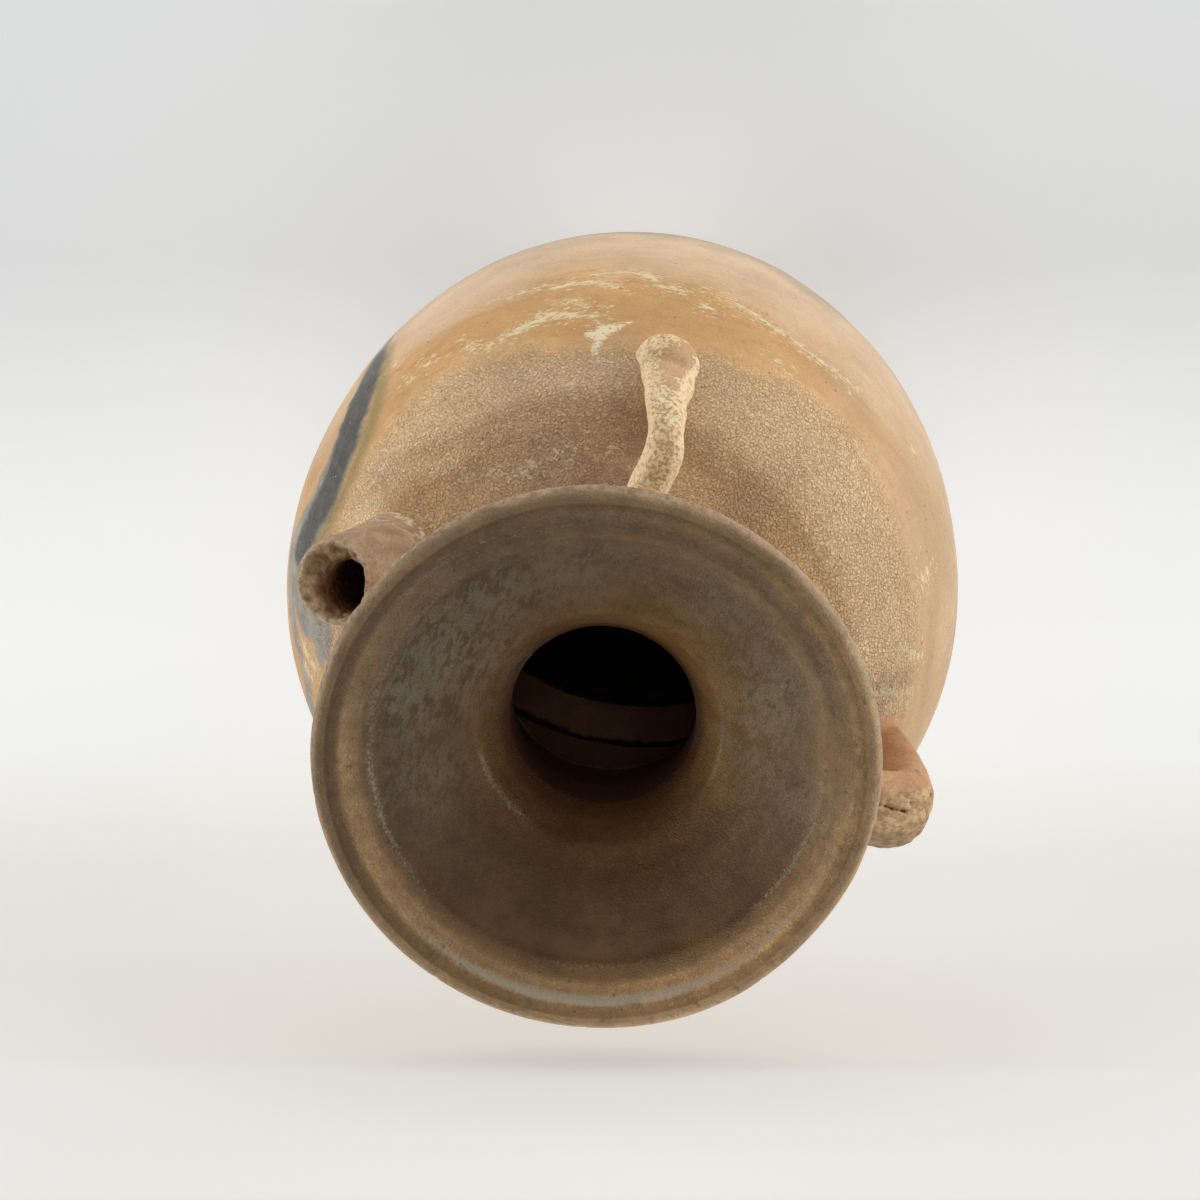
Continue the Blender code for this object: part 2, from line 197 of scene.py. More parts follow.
# Heights where one glaze tone gives way to the next, around the vessel, and the shoulder's top
SHOULDER_TOP = 168.0
OCHRE_FOOT = ((-166, 131), (-158, 131), (-151, 127), (-138, 124.5), (-127, 123), (-116, 121.5),
              (-104, 119.5), (-92, 115.5), (-82, 113), (-68, 107), (-58, 108), (-51, 114), (-38, 118),
              (-20, 117), (20, 112), (70, 118), (120, 113), (170, 120))
PINK_FOOT = ((-150, 139), (-133, 137.6), (-113, 135.4), (-92, 136.6), (-85, 138), (-65, 141),
             (-50, 138.5), (-41, 136), (-32, 134.4), (-24, 134.5), (-12, 138), (0, 141), (40, 143),
             (90, 137), (140, 141), (175, 140))
BROWN_FOOT = ((-150, 160), (-110, 161), (-90, 158), (-56, 155), (-34, 155), (-11, 153), (20, 157),
              (90, 158), (150, 159))

# Lines of worn cream slip: azimuth, height and half width along each
CREAM_LINES = (
    ((-46, 115.6, 0.1), (-54, 117.2, 0.3), (-58, 117.6, 0.6), (-62, 117.4, 0.7), (-65, 118.6, 0.5),
     (-68.5, 120.6, 0.1)),
    ((-64, 113.6, 0.2), (-69, 112.0, 0.6), (-72.5, 112.8, 0.9), (-74.5, 116.2, 0.9),
     (-76.5, 119.2, 0.5), (-80, 118.8, 0.1)),
    ((-47, 132.8, 0.1), (-50, 131.8, 0.5), (-53, 130.9, 0.9), (-56, 129.9, 1.0), (-60, 130.6, 0.7),
     (-64.5, 131.5, 0.2)),
    ((-84, 116.9, 0.1), (-88, 118.4, 0.3), (-92, 119.8, 0.5), (-95, 121, 0.4), (-100, 122.2, 0.2),
     (-108, 122.9, 0.25), (-114, 121.2, 0.1)),
    ((-57, 126.4, -0.4), (-60.7, 125.6, 0.0), (-62.8, 128.0, -0.1), (-66, 128.6, -0.4)),
    ((-32, 128.2, 0.1), (-32.8, 128.8, 0.5)), ((-28.4, 129.2, 0.1), (-28.9, 129.5, 0.4)),
    ((-40, 129.3, 0.1), (-42.6, 132.4, 0.5), (-45, 133.4, 0.2)),
    ((-59.4, 147.7, 0.6), (-59.8, 147.9, 0.6)),
    ((-83.2, 123.5, 0.7), (-84.2, 123.8, 0.5)), ((-98.6, 132.4, 0.3), (-99.8, 132.9, 0.3)),
    ((-121, 137.2, 0.3), (-122, 137.8, 0.4)), ((-146, 131, 0.1), (-147.5, 134, 0.6), (-147, 137, 0.4)),
    ((-159, 143.6, 0.6), (-160.5, 141.4, 0.9), (-162, 138.6, 0.5)),
    ((-167, 149, 0.3), (-168, 144, 0.7), (-169, 140, 0.3)),
    ((26, 133, 0.4), (28, 134.6, 0.7), (29.5, 137.4, 0.4)), ((30, 132, 0.2), (32, 134, 0.5)),
    ((56, 118, 0.2), (66, 119.6, 0.8), (76, 121.4, 0.9), (84, 120.2, 0.6), (93, 117.4, 0.3)),
    ((70, 131, 0.2), (77, 132.2, 0.8), (84, 131.0, 0.5)),
    ((150, 131, 0.2), (157, 132.6, 0.7), (163, 131.4, 0.3)),
    ((172, 117, 0.2), (178, 119, 0.6), (-175, 118, 0.4)),
)
STAR_LINES = (
    ((-71, 133.2, 0.3), (-68.8, 134.8, 1.0), (-66.4, 136.0, 1.7), (-64, 137.0, 1.3),
     (-62.4, 137.0, 0.4)),
    ((-66.4, 136.4, 1.5), (-64.8, 139.4, 1.1), (-64.4, 142, 0.7), (-64.8, 144.2, 0.2)),
    ((-66.2, 143.0, 0.2), (-68.6, 143.8, 0.3)), ((-64.6, 133.2, 0.2), (-66.2, 135, 0.8)),
)

STROKES = {"slate": SLATE_STROKES, "ink": INK_STROKES, "green": GREEN_STROKES, "olive": OLIVE_BANDS,
           "cream": CREAM_LINES, "star": STAR_LINES}

# Crusts and stains on the wall: azimuth, height, spread along it, spread up it, and strength
CRUST_PATCHES = ((-31, 156.2, 3.5, 1.8, 0.9), (-37, 157.6, 4, 2, 0.9), (-46, 159.2, 5, 2.6, 1.0),
                 (-56, 158.6, 5, 3, 0.9), (-68.5, 158.4, 2.2, 1.6, 1.0), (-52, 155.4, 6, 2.4, 0.7),
                 (-62, 156, 4, 2, 0.6), (-26, 147, 4, 1.6, 0.55), (-98, 158, 6, 2.5, 0.5),
                 (-123.5, 153.3, 2, 1.4, 0.8), (-129, 155.6, 2.5, 1.6, 0.8), (-166, 149, 3, 5, 0.6),
                 (-174, 146, 4, 5, 0.5), (120, 156, 9, 3, 0.7), (60, 157, 6, 3, 0.5))
STAIN_PATCHES = ((-14.5, 146, 5, 4, 0.7), (-18, 153.5, 7, 4, 0.6), (-26, 158, 8, 3, 0.3),
                 (-8, 158, 10, 4, 0.6), (-64, 161, 22, 6, 1.0), (-76, 158, 8, 9, 1.0),
                 (-70, 152, 3.5, 7, 0.85), (-90, 158, 6, 7, 0.3), (-108, 160, 10, 4, 0.1),
                 (-166, 146, 3, 6, 0.9), (-172, 150, 4, 5, 0.8), (-178, 143, 5, 5, 0.6),
                 (12, 158, 12, 6, 0.6), (165, 154, 9, 6, 0.6), (92, 158, 11, 5, 0.6),
                 (110, 146, 6, 4, 0.4))

# Marks in the dish: azimuth, radius, size and strength
FILM_PATCHES = ((-12, 34, 15, 0.9), (-35, 38, 12, 0.75), (8, 40, 10, 0.8), (-60, 36, 14, 0.6),
                (30, 36, 10, 0.5), (-140, 38, 12, 0.8), (-158, 33, 10, 0.8), (-110, 40, 12, 0.45),
                (-170, 44, 8, 0.5))
WARM_PATCHES = ((112, 48, 14, 1.0), (85, 49, 12, 0.9), (140, 49, 12, 0.9), (60, 50, 9, 0.6),
                (165, 50, 9, 0.7), (112, 27, 9, 0.35), (-67, 28, 8, 0.5), (-157, 46, 10, 0.55))
DISH_PITS = ((56.5, 36.7, 1.1, 1.0), (3, 41, 1.0, 0.6), (-14, 31, 1.5, 0.6), (-17, 28, 1.8, 0.45),
             (-6, 25, 1.6, 0.55), (-120, 39, 1.0, 0.5), (-144, 37, 1.8, 0.6), (24, 51, 0.8, 0.7),
             (-153, 53.5, 0.8, 0.8), (135, 43, 0.7, 0.4), (-100, 31, 0.8, 0.3), (95, 40, 0.6, 0.35))

# Worn edges: radius and half width, then azimuth, spread in degrees and strength
WEAR_ARCS = ((52.5, 0.6, 112, 400, 0.5), (52.4, 1.1, 108, 46, 1.75), (50.9, 0.6, -60, 60, 0.45),
             (52.4, 0.5, 158, 26, 1.2), (49.6, 0.4, 60, 40, 0.5), (47.2, 1.1, -10, 80, 0.55),
             (46.9, 0.9, 35, 28, 0.85), (46.9, 0.8, 176, 30, 0.8), (46.8, 0.8, 112, 22, 0.55),
             (25.7, 0.8, 42, 17, 0.95), (25.4, 0.8, 62, 15, 0.9), (25.4, 0.7, -172, 22, 0.8),
             (58.4, 0.6, -60, 60, 0.4), (19.0, 0.7, 84, 36, 1.9))

# Folds and cracks in the handle, as pixels of the fitted image, with half width and depth
HANDLE_CRACKS = (
    (((878, 805.5), (885, 807), (892, 809.5), (899, 811), (906, 812.5)), 0.30, 1.15),
    (((884, 788), (896, 784), (907, 786), (918, 793), (925, 807), (928, 822)), 0.36, 0.40),
    (((900, 779), (912, 779), (923, 785), (930, 797), (932, 812)), 0.36, 0.34),
    (((886, 803), (902, 798), (912, 805), (919, 818), (921, 836), (915, 842)), 0.36, 0.50),
    (((880, 795), (892, 793), (905, 796), (914, 806)), 0.4, 0.2),
    (((882, 822), (880, 832), (884, 840)), 0.35, 0.25),
    (((898, 826), (900, 836), (906, 842)), 0.4, 0.2),
)


def polar(azimuth, radius, height):
    """A point, or rows of points, from azimuth in degrees and radius and height in metres."""
    turn = np.radians(azimuth)
    return np.stack(np.broadcast_arrays(radius * np.cos(turn), radius * np.sin(turn), height), -1)


def ease(value, low, high):
    """0 below low, 1 above high and smooth between them."""
    share = np.clip((value - low) / (high - low), 0, 1)
    return share * share * (3 - 2 * share)


def fall(value, low, high):
    """1 below low, 0 above high and smooth between them."""
    return ease(-value, -high, -low)


def hump(value, centre, width):
    return np.exp(-(((value - centre) / width) ** 2))


def turn_between(azimuth, centre):
    """Degrees from centre to azimuth, from -180 to 180."""
    return (azimuth - centre + 180) % 360 - 180


def facing(seen, azimuth, spread):
    """Soft about an azimuth, with a spread in degrees."""
    return hump(turn_between(seen.azimuth, azimuth), 0, spread)


def cloud(points, size, layers=3, seed=0.0):
    """Smooth random values about 0 whose lumps have this size, in metres, or a size for each axis."""
    places = np.asarray(points) / np.asarray(size) + seed
    return np.array([noise.fractal(place, 1.0, 2.0, layers) for place in places.tolist()])


def lumps_on(points, table):
    """The heights of lumps in the clay at points, in metres."""
    return sum(cloud(points, size, layers, seed) * high * MM for size, layers, seed, high in table)


def smooth_curve(points, steps=DENSE_STEPS):
    """A Catmull-Rom curve through rows of points of any dimension."""
    knots = np.asarray(points, float)
    knots = np.vstack([2 * knots[0] - knots[1], knots, 2 * knots[-1] - knots[-2]])
    t = np.linspace(0, 1, steps, endpoint=False)[:, None]
    spans = [
        b + (c - a) * t / 2 + (2 * a - 5 * b + 4 * c - d) * t**2 / 2 + (3 * b - a - 3 * c + d) * t**3 / 2
        for a, b, c, d in zip(knots, knots[1:], knots[2:], knots[3:])
    ]
    return np.vstack(spans + [knots[-2:-1]])


def meridian(node):
    """A turned solid's outline, as the links between its points on the half-plane opposite +X."""
    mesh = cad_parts[node].data
    places = {}
    for vertex in mesh.vertices:
        x, y, z = vertex.co
        if x < TINY and abs(y) < TINY:
            places[vertex.index] = (round(-x, 6) + 0.0, round(z, 6))
    links = {}
    for edge in mesh.edges:
        one, other = (places.get(index) for index in edge.vertices)
        if one and other and one != other:
            links.setdefault(one, []).append(other)
            links.setdefault(other, []).append(one)
    return links


def walk(links, start, then=None):
    """The points of an outline in order, from a start, by way of the point that follows it."""
    path = [start, then or links[start][0]]
    while True:
        onward = [point for point in links[path[-1]] if point != path[-2]]
        onward = [point for point in onward if point not in path[1:]]
        if not onward:
            return path
        if onward[0] == start:
            return path + [start]
        path.append(onward[0])


def refined(outline, spacing):
    """An outline drawn smooth between its corners, as rows of radius and height."""
    points = np.array(outline)
    steps = np.diff(points, axis=0) @ (1, 1j)
    turns = np.degrees(np.abs(np.angle(steps[1:] / steps[:-1])))
    ends = [0, *(np.flatnonzero(turns > CORNER_DEGREES) + 1), len(points) - 1]
    pieces = []
    for first, last in zip(ends, ends[1:]):
        piece = smooth_curve(points[first:last + 1])
        run = np.concatenate([[0], np.cumsum(np.linalg.norm(np.diff(piece, axis=0), axis=1))])
        at = np.linspace(0, run[-1], max(2, math.ceil(run[-1] / spacing) + 1))
        pieces.append(np.stack([np.interp(at, run, piece[:, axis]) for axis in (0, 1)], 1)[:-1])
    return np.vstack(pieces + [points[-1:]])


def thinned(rows, spare, every):
    """The rows with only every few of the spare ones."""
    keep = ~spare | (np.arange(len(rows)) % every == 0)
    keep[[0, -1]] = True
    return rows[keep]


def normals_of(rows):
    """The way out of the clay at each row of an outline."""
    along = np.gradient(rows, axis=0)
    along /= np.maximum(np.linalg.norm(along, axis=1, keepdims=True), TINY * MM)
    return np.stack([-along[:, 1], along[:, 0]], 1)


def body_outline():
    """The body's outline in two runs: up its inside from the floor, and down its outside."""
    links = meridian("body")
    ends = sorted((point for point in links if len(set(links[point])) == 1), key=lambda point: -point[1])
    path = walk({point: list(dict.fromkeys(near)) for point, near in links.items()}, ends[0])
    path = [(0.0, path[0][1])] + path + [(0.0, path[-1][1])]
    top = max(range(len(path)), key=lambda index: (path[index][1], -path[index][0]))
    return path[:top + 1], path[top:]


def mouth_outline():
    """The neck and mouth's outline: up the bore and dish, over the lip, and down outside."""
    links = {point: list(dict.fromkeys(near)) for point, near in meridian("neck_and_mouth").items()}
    foot = max(links, key=lambda point: (-point[1], point[0]))
    bore = min(links[foot])
    return walk(links, foot, bore)


def body_rows():
    """The body's rows, and how many of them are inside."""
    inside, outside = body_outline()
    inside, outside = refined(inside, INNER_SPACING), refined(outside, OUTER_SPACING)
    inside = thinned(inside, inside[:, 1] > FINE_INSIDE_TOP, 2)
    outside = thinned(outside, outside[:, 1] < FINE_OUTSIDE_FOOT, 2)
    outside = thinned(outside, outside[:, 1] < UNDERSIDE, 3)
    return np.vstack([inside, outside[1:]]), len(inside)


def mouth_rows():
    """The mouth's rows, with its bore widened, and which of them is the top of the lip."""
    rows = refined(mouth_outline(), MOUTH_SPACING)
    heights, radii = np.array(BORE_FLARE).T * MM
    inside = np.arange(len(rows)) < len(rows) / 2
    bore = (rows[:, 0] < BORE_RADIUS) & (rows[:, 1] < BORE_TOP) & inside
    rows[bore, 0] = np.maximum(rows[bore, 0], np.interp(rows[bore, 1], heights, radii))
    rows = thinned(rows, rows[:, 1] < DISH_FOOT, 2)
    lip = int(np.argmax(rows[:, 1]))
    notch = hump(rows[:, :1], NOTCH_RADIUS, NOTCH_WIDTH) * (np.arange(len(rows)) < lip)[:, None]
    for _ in range(NOTCH_ROUNDS):
        rows += notch * ((np.roll(rows, 1, axis=0) + np.roll(rows, -1, axis=0)) / 2 - rows)
    return rows, lip


BODY_ROWS, INNER_COUNT = body_rows()
BODY_NORMALS = normals_of(BODY_ROWS)
OUTER_ROWS = BODY_ROWS[INNER_COUNT:]
MOUTH_ROWS, LIP_ROW = mouth_rows()
MOUTH_NORMALS = normals_of(MOUTH_ROWS)


def wall_radius(height):
    """Outside radius of the body at a height."""
    rising = OUTER_ROWS[::-1]
    return np.interp(height, rising[:, 1], rising[:, 0])


def on_wall(azimuth, height_mm):
    """Points on the body's outside."""
    height = np.asarray(height_mm, float) * MM
    return polar(azimuth, wall_radius(height), height)


def seen_at(points):
    """What the reliefs and masks ask of points: millimetres, and degrees of azimuth."""
    return SimpleNamespace(
        points=points,
        radius=np.hypot(points[:, 0], points[:, 1]) / MM,
        height=points[:, 2] / MM,
        azimuth=np.degrees(np.arctan2(points[:, 1], points[:, 0])),
    )


def nearest(points, path):
    """Index of the nearest row of a path to each point, and the distance to it, in millimetres."""
    index, distance = [], []
    for start in range(0, len(points), BATCH):
        gaps = np.linalg.norm(points[start:start + BATCH, None] - path[None], axis=2)
        index.append(gaps.argmin(1))
        distance.append(gaps.min(1))
    return np.concatenate(index), np.concatenate(distance) / MM


def stroke_distance(points, strokes):
    """Millimetres outside the nearest painted stroke, negative within it."""
    closest = np.full(len(points), 99.0)
    for stroke in strokes:
        course = smooth_curve(stroke, 8)
        index, distance = nearest(points, on_wall(course[:, 0], course[:, 1]))
        closest = np.minimum(closest, distance - course[index, 2])
    return closest


def patches(seen, table):
    """Soft patches on the wall, each as wide and as high as the table says."""
    total = np.zeros(len(seen.points))
    for azimuth, height, wide, high, strength in table:
        across = np.radians(turn_between(seen.azimuth, azimuth)) * seen.radius
        total = np.maximum(total, strength * hump(across, 0, wide) * hump(seen.height, height, high))
    return total


def dish_patches(seen, table):
    """Soft round patches in the dish, at an azimuth and radius."""
    total = np.zeros(len(seen.points))
    for azimuth, radius, size, strength in table:
        centre = polar(azimuth, radius, 0)[:2]
        gap = np.linalg.norm(seen.points[:, :2] / MM - centre, axis=1)
        total = np.maximum(total, strength * hump(gap, 0, size))
    return total


def around(seen, table):
    """A height that changes around the vessel, from (azimuth, height) rows."""
    azimuths, heights = np.array(sorted(table)).T
    return np.interp(seen.azimuth, azimuths, heights, period=360)


def placed(name, data):
    """A new object in the scene."""
    made = bpy.data.objects.new(name, data)
    bpy.context.scene.collection.objects.link(made)
    return made


def as_object(name, vertices, faces):
    mesh = bpy.data.meshes.new(name)
    mesh.from_pydata(vertices.tolist(), [], faces)
    return placed(name, mesh)


def weld(mesh, reach):
    """Join the points of a mesh that lie closer together than this."""
    joined = bmesh.new()
    joined.from_mesh(mesh)
    bmesh.ops.remove_doubles(joined, verts=joined.verts, dist=reach)
    joined.to_mesh(mesh)
    joined.free()


def modify(made, kind, **settings):
    modifier = made.modifiers.new(kind.lower(), kind)
    for key, value in settings.items():
        setattr(modifier, key, value)


def turned(name, rows, normals, relief, columns=COLUMNS):
    """A high-detail turned surface: rows of an outline carried round, moved along their normals."""
    azimuth = np.arange(columns) * 360 / columns
    points = polar(azimuth[None], rows[:, :1], rows[:, 1:])
    outward = polar(azimuth[None], normals[:, :1], normals[:, 1:])
    moves = relief(seen_at(points.reshape(-1, 3)), np.repeat(np.arange(len(rows)), columns))
    vertices = points.reshape(-1, 3) + outward.reshape(-1, 3) * moves[:, None]
    index = np.arange(len(vertices)).reshape(len(rows), columns)
    after = np.roll(index, -1, axis=1)
    faces = np.stack([index[1:], after[1:], after[:-1], index[:-1]], -1).reshape(-1, 4)
    made = as_object(name, vertices, faces.tolist())
    weld(made.data, WELD_GAP)
    made.data.shade_smooth()
    return made


def coordinates(mesh, kind="co"):
    source = mesh.vertices if kind == "co" else mesh.vertex_normals
    values = np.empty(len(source) * 3, np.float32)
    source.foreach_get("co" if kind == "co" else "vector", values)
    return values.reshape(-1, 3).astype(float)


def move_to(mesh, points):
    mesh.vertices.foreach_set("co", points.astype(np.float32).ravel())
    mesh.update()


def paint(made, **fields):
    """Keep named values at each vertex, for the finish to read."""
    for name, values in fields.items():
        field = made.data.attributes.new(name, "FLOAT", "POINT")
        field.data.foreach_set("value", values.astype(np.float32))


def baked(made):
    """The object's mesh with its modifiers in it."""
    bpy.context.view_layer.update()
    solid = made.evaluated_get(bpy.context.evaluated_depsgraph_get())
    mesh = bpy.data.meshes.new_from_object(solid)
    made.modifiers.clear()
    made.data = mesh
    return made


def camera_matrix():
    axis = Vector((
        -math.sin(CAMERA_ROLL),
        -math.sin(CAMERA_TILT) * math.cos(CAMERA_ROLL),
        math.cos(CAMERA_TILT) * math.cos(CAMERA_ROLL),
    ))
    up = (Vector((0, 1, 0)) - axis.y * axis).normalized()
    turned_to = Matrix((up.cross(axis), up, axis))
    turned_to = Matrix.Rotation(math.radians(IMAGE_RIGHT_AZIMUTH), 3, "Z") @ turned_to
    stand = turned_to @ Vector((*(shift * MM for shift in CAMERA_SHIFT_MM), CAMERA_DISTANCE))
    top = Vector((0, 0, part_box("neck_and_mouth")[1].z))
    return Matrix.Translation(top + stand) @ turned_to.to_4x4()


CAMERA = camera_matrix()


def pixels_of(points):
    """Where points fall in the fitted image."""
    turned_to = np.array(CAMERA.to_3x3())
    local = (points - np.array(CAMERA.translation)) @ turned_to
    return IMAGE_SIZE / 2 + local[:, :2] / -local[:, 2:] * FOCAL_PIXELS * (1, -1)


def near_pixel(points, pixel, spread):
    """Soft about a pixel of the fitted image."""
    return hump(np.linalg.norm(pixels_of(points) - pixel, axis=1), 0, spread)


def struck(tree, pixels):
    """Where the lines of sight through these pixels first meet a surface."""
    hits = []
    for across, down in pixels:
        aim = Vector((across - IMAGE_SIZE / 2, IMAGE_SIZE / 2 - down, -FOCAL_PIXELS)).normalized()
        hit = tree.ray_cast(CAMERA.translation, CAMERA.to_3x3() @ aim)[0]
        if hit:
            hits.append(tuple(hit))
    return np.array(hits)


def spout_axes():
    """The spout's root, its axis, and the directions across it: outwards and sideways."""
    lean = Matrix.Rotation(SPOUT_LEAN, 3, "Y")
    ways = (np.array(lean @ Vector(way)) for way in ((0, 0, 1), (1, 0, 0), (0, 1, 0)))
    return (np.array(SPOUT_ROOT), *ways)


def spout_place(points):
    """Along the spout and away from its axis, in metres."""
    root, axis, _, _ = spout_axes()
    along = (points - root) @ axis
    away = np.linalg.norm(points - root - along[:, None] * axis, axis=1)
    return along, away


def outer_relief(seen):
    """Lumps, wiping and crusts, and a collar of clay about the spout."""
    lumps = lumps_on(seen.points, BODY_LUMPS)
    crust = patches(seen, CRUST_PATCHES) * np.maximum(cloud(seen.points, 0.0026, 3, 3.0), 0) * 0.7 * MM
    along, away = spout_place(seen.points)
    collar = hump(away, 0.0125, 0.0030) * (along < 0.02) * 0.9 * MM
    return (lumps - 0.26 * MM + crust + collar) * ease(seen.height, 0.5, 7)


def inner_relief(seen):
    """Throwing rings that fade at the floor and under the shoulder."""
    rings = 1 - hump(ring_phase(seen), 0, 0.13)
    fade = ease(seen.height, 14, 24) * fall(seen.height, 120, 150)
    return (rings - 0.7) * RING_DEPTH * fade + cloud(seen.points, 0.012, 2, 5.0) * 0.25 * MM * fade


def body_relief(seen, row):
    moves = np.zeros(len(row))
    outer = row >= INNER_COUNT
    moves[outer] = outer_relief(seen_at(seen.points[outer]))
    moves[~outer] = inner_relief(seen_at(seen.points[~outer]))
    return moves


def ring_phase(seen):
    """How far points inside the body lie from a throwing groove, up to half a ring either way."""
    turns = (seen.height * MM - RING_START) / RING_PITCH - turn_between(seen.azimuth, RING_AZIMUTH) / 360
    return turns - np.round(turns)


def ring_on(seen, radius, half_width, high):
    """The height of a ring about the axis, in millimetres."""
    return high * hump(seen.radius, radius, half_width)


def mouth_relief(seen, row):
    """The mouth's surface: rings cut inside the lip, wear, and the wheel's fine lines."""
    inner = (row < LIP_ROW) & (seen.radius > 19.2)
    moves = lumps_on(seen.points, MOUTH_LUMPS) - 0.10 * MM
    rings = sum(ring_on(seen, *ring) for ring in DISH_RINGS)
    lines = np.stack([seen.points[:, 0] / 30, seen.points[:, 1] / 30, seen.radius * MM / 1.3], 1) / MM
    fine = cloud(lines, 1.0, 2, 11.0) * (0.03 + 0.06 * ease(seen.radius, 46.5, 48.5))
    pits = -0.5 * dish_patches(seen, DISH_PITS)
    moves[inner] += ((rings + fine + pits) * MM)[inner]
    moves += ring_on(seen, *LIP_BEAD) * (row < LIP_ROW) * MM
    moves += ring_on(seen, *LIP_GROOVE) * ease(seen.height, 219.5, 223.0) * MM
    chips = np.maximum(cloud(seen.points, 0.0042, 2, 23.0) - 0.42, 0) * hump(seen.radius, 58.6, 1.0)
    moves -= chips * 1.3 * MM
    outer = row > LIP_ROW
    moves[outer] += (cloud(seen.points[outer], (0.05, 0.05, 0.003), 2, 4.0) * 0.10 - 0.05) * MM
    moves[outer] += (0.8 * hump(seen.height, 168.4, 1.5) * (seen.radius > 27) * MM)[outer]
    return moves


def press_rim(made):
    """The rim isn't a true circle: it is pressed in a little at two places."""
    points = coordinates(made.data)
    seen = seen_at(points)
    outwards = ease(seen.radius, 30, 59)
    pressed = 0.011 * facing(seen, 160, 17) + 0.005 * facing(seen, -30, 24)
    points[:, :2] *= (1 - outwards * pressed)[:, None]
    points[:, 2] -= outwards * (0.35 * facing(seen, 80, 45)) * MM
    move_to(made.data, points)


def drill(made):
    """Open the body where the spout's bore runs through its wall."""
    root, axis, _, _ = spout_axes()
    cutter = bmesh.new()
    radii = {"radius1": SPOUT_BORE_RADIUS, "radius2": SPOUT_BORE_RADIUS}
    bmesh.ops.create_cone(cutter, cap_ends=True, segments=64, depth=DRILL_LENGTH, **radii)
    mesh = bpy.data.meshes.new("bore")
    cutter.to_mesh(mesh)
    cutter.free()
    bore = placed("bore", mesh)
    centre = Vector(root - axis * DRILL_BACK)
    bore.matrix_world = Matrix.Translation(centre) @ Matrix.Rotation(SPOUT_LEAN, 4, "Y")
    modify(made, "BOOLEAN", operation="DIFFERENCE", solver="EXACT", object=bore)
    baked(made)
    bpy.data.objects.remove(bore)
    return made


OUTER_MOUTH = MOUTH_ROWS[LIP_ROW:]
NECK_FOOT = LIP_ROW + int(np.argmin(np.abs(OUTER_MOUTH[:, 1] - NECK_SEAT) - OUTER_MOUTH[:, 0]))
VESSEL = np.vstack([MOUTH_ROWS[LIP_ROW:NECK_FOOT], OUTER_ROWS])
VESSEL_NORMALS = np.vstack([MOUTH_NORMALS[LIP_ROW:NECK_FOOT], BODY_NORMALS[INNER_COUNT:]])


def over_vessel(points):
    """Height of points above the vessel's outside, in millimetres, and the way out from it."""
    flat = np.stack([np.hypot(points[:, 0], points[:, 1]), points[:, 2]], 1)
    index, _ = nearest(flat, VESSEL)
    normal = VESSEL_NORMALS[index]
    height = ((flat - VESSEL[index]) * normal).sum(1) / MM
    azimuth = np.degrees(np.arctan2(points[:, 1], points[:, 0]))
    return height, polar(azimuth, normal[:, 0], normal[:, 1])


def dressed(node, voxel, rounds):
    """A luted piece drawn fine from its solid: run into the vessel, its facets rounded away."""
    made = placed("fired_" + node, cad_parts[node].data.copy())
    made.data.materials.clear()
    weld(made.data, TINY)
    points = coordinates(made.data)
    height, out = over_vessel(points)
    luted = height < SEAM_REACH / MM
    move_to(made.data, points - out * (luted * SEAM_SINK)[:, None])
    modify(made, "REMESH", mode="VOXEL", voxel_size=voxel)
    modify(made, "SMOOTH", factor=0.5, iterations=rounds)
    baked(made)
    made.data.shade_smooth()
    return made


def soothed(made, weights, rounds):
    """Smooth a surface further where the weights say."""
    group = made.vertex_groups.new(name="soothed")
    for index in np.flatnonzero(weights > 0.01).tolist():
        group.add([index], float(weights[index]), "REPLACE")
    modify(made, "SMOOTH", factor=0.5, iterations=rounds, vertex_group=group.name)
    baked(made)
    made.data.shade_smooth()


def smeared(points, normals, reach):
    """Points of a luted piece, its foot wiped out onto the vessel."""
    height, out = over_vessel(points)
    sideways = normals - out * (normals * out).sum(1, keepdims=True)
    return points + sideways * (np.clip(1 - height / SMEAR_HEIGHT, 0, 1) ** 2 * reach)[:, None]


def groove(points, tree, tracks):
    """How deep points lie in tracks across a surface, in metres."""
    depth = np.zeros(len(points))
    for pixels, half_width, deep in tracks:
        path = struck(tree, smooth_curve(pixels, 10))
        if len(path):
            _, gap = nearest(points, path)
            depth += deep * hump(gap, 0, half_width) * MM
    return depth * np.clip(0.95 + 1.3 * cloud(points, 0.0014, 2, 6.0), 0.1, 1.3)


def make_body():
    made = drill(turned("fired_body", BODY_ROWS, BODY_NORMALS, body_relief))
    seen = seen_at(coordinates(made.data))
    feet = (around(seen, table) for table in (OCHRE_FOOT, PINK_FOOT, BROWN_FOOT))
    tiers = [0.0, *feet, SHOULDER_TOP]
    tier = sum(np.clip((seen.height - low) / (high - low), 0, 1) for low, high in zip(tiers, tiers[1:]))
    inside = seen.radius < wall_radius(seen.points[:, 2]) / MM - HALF_WALL
    paint(made, tier=tier / 4, inside=inside)
    paint(made, **{name: stroke_distance(seen.points, strokes) for name, strokes in STROKES.items()})
    paint(made, crust=patches(seen, CRUST_PATCHES), stain=patches(seen, STAIN_PATCHES))
    return made


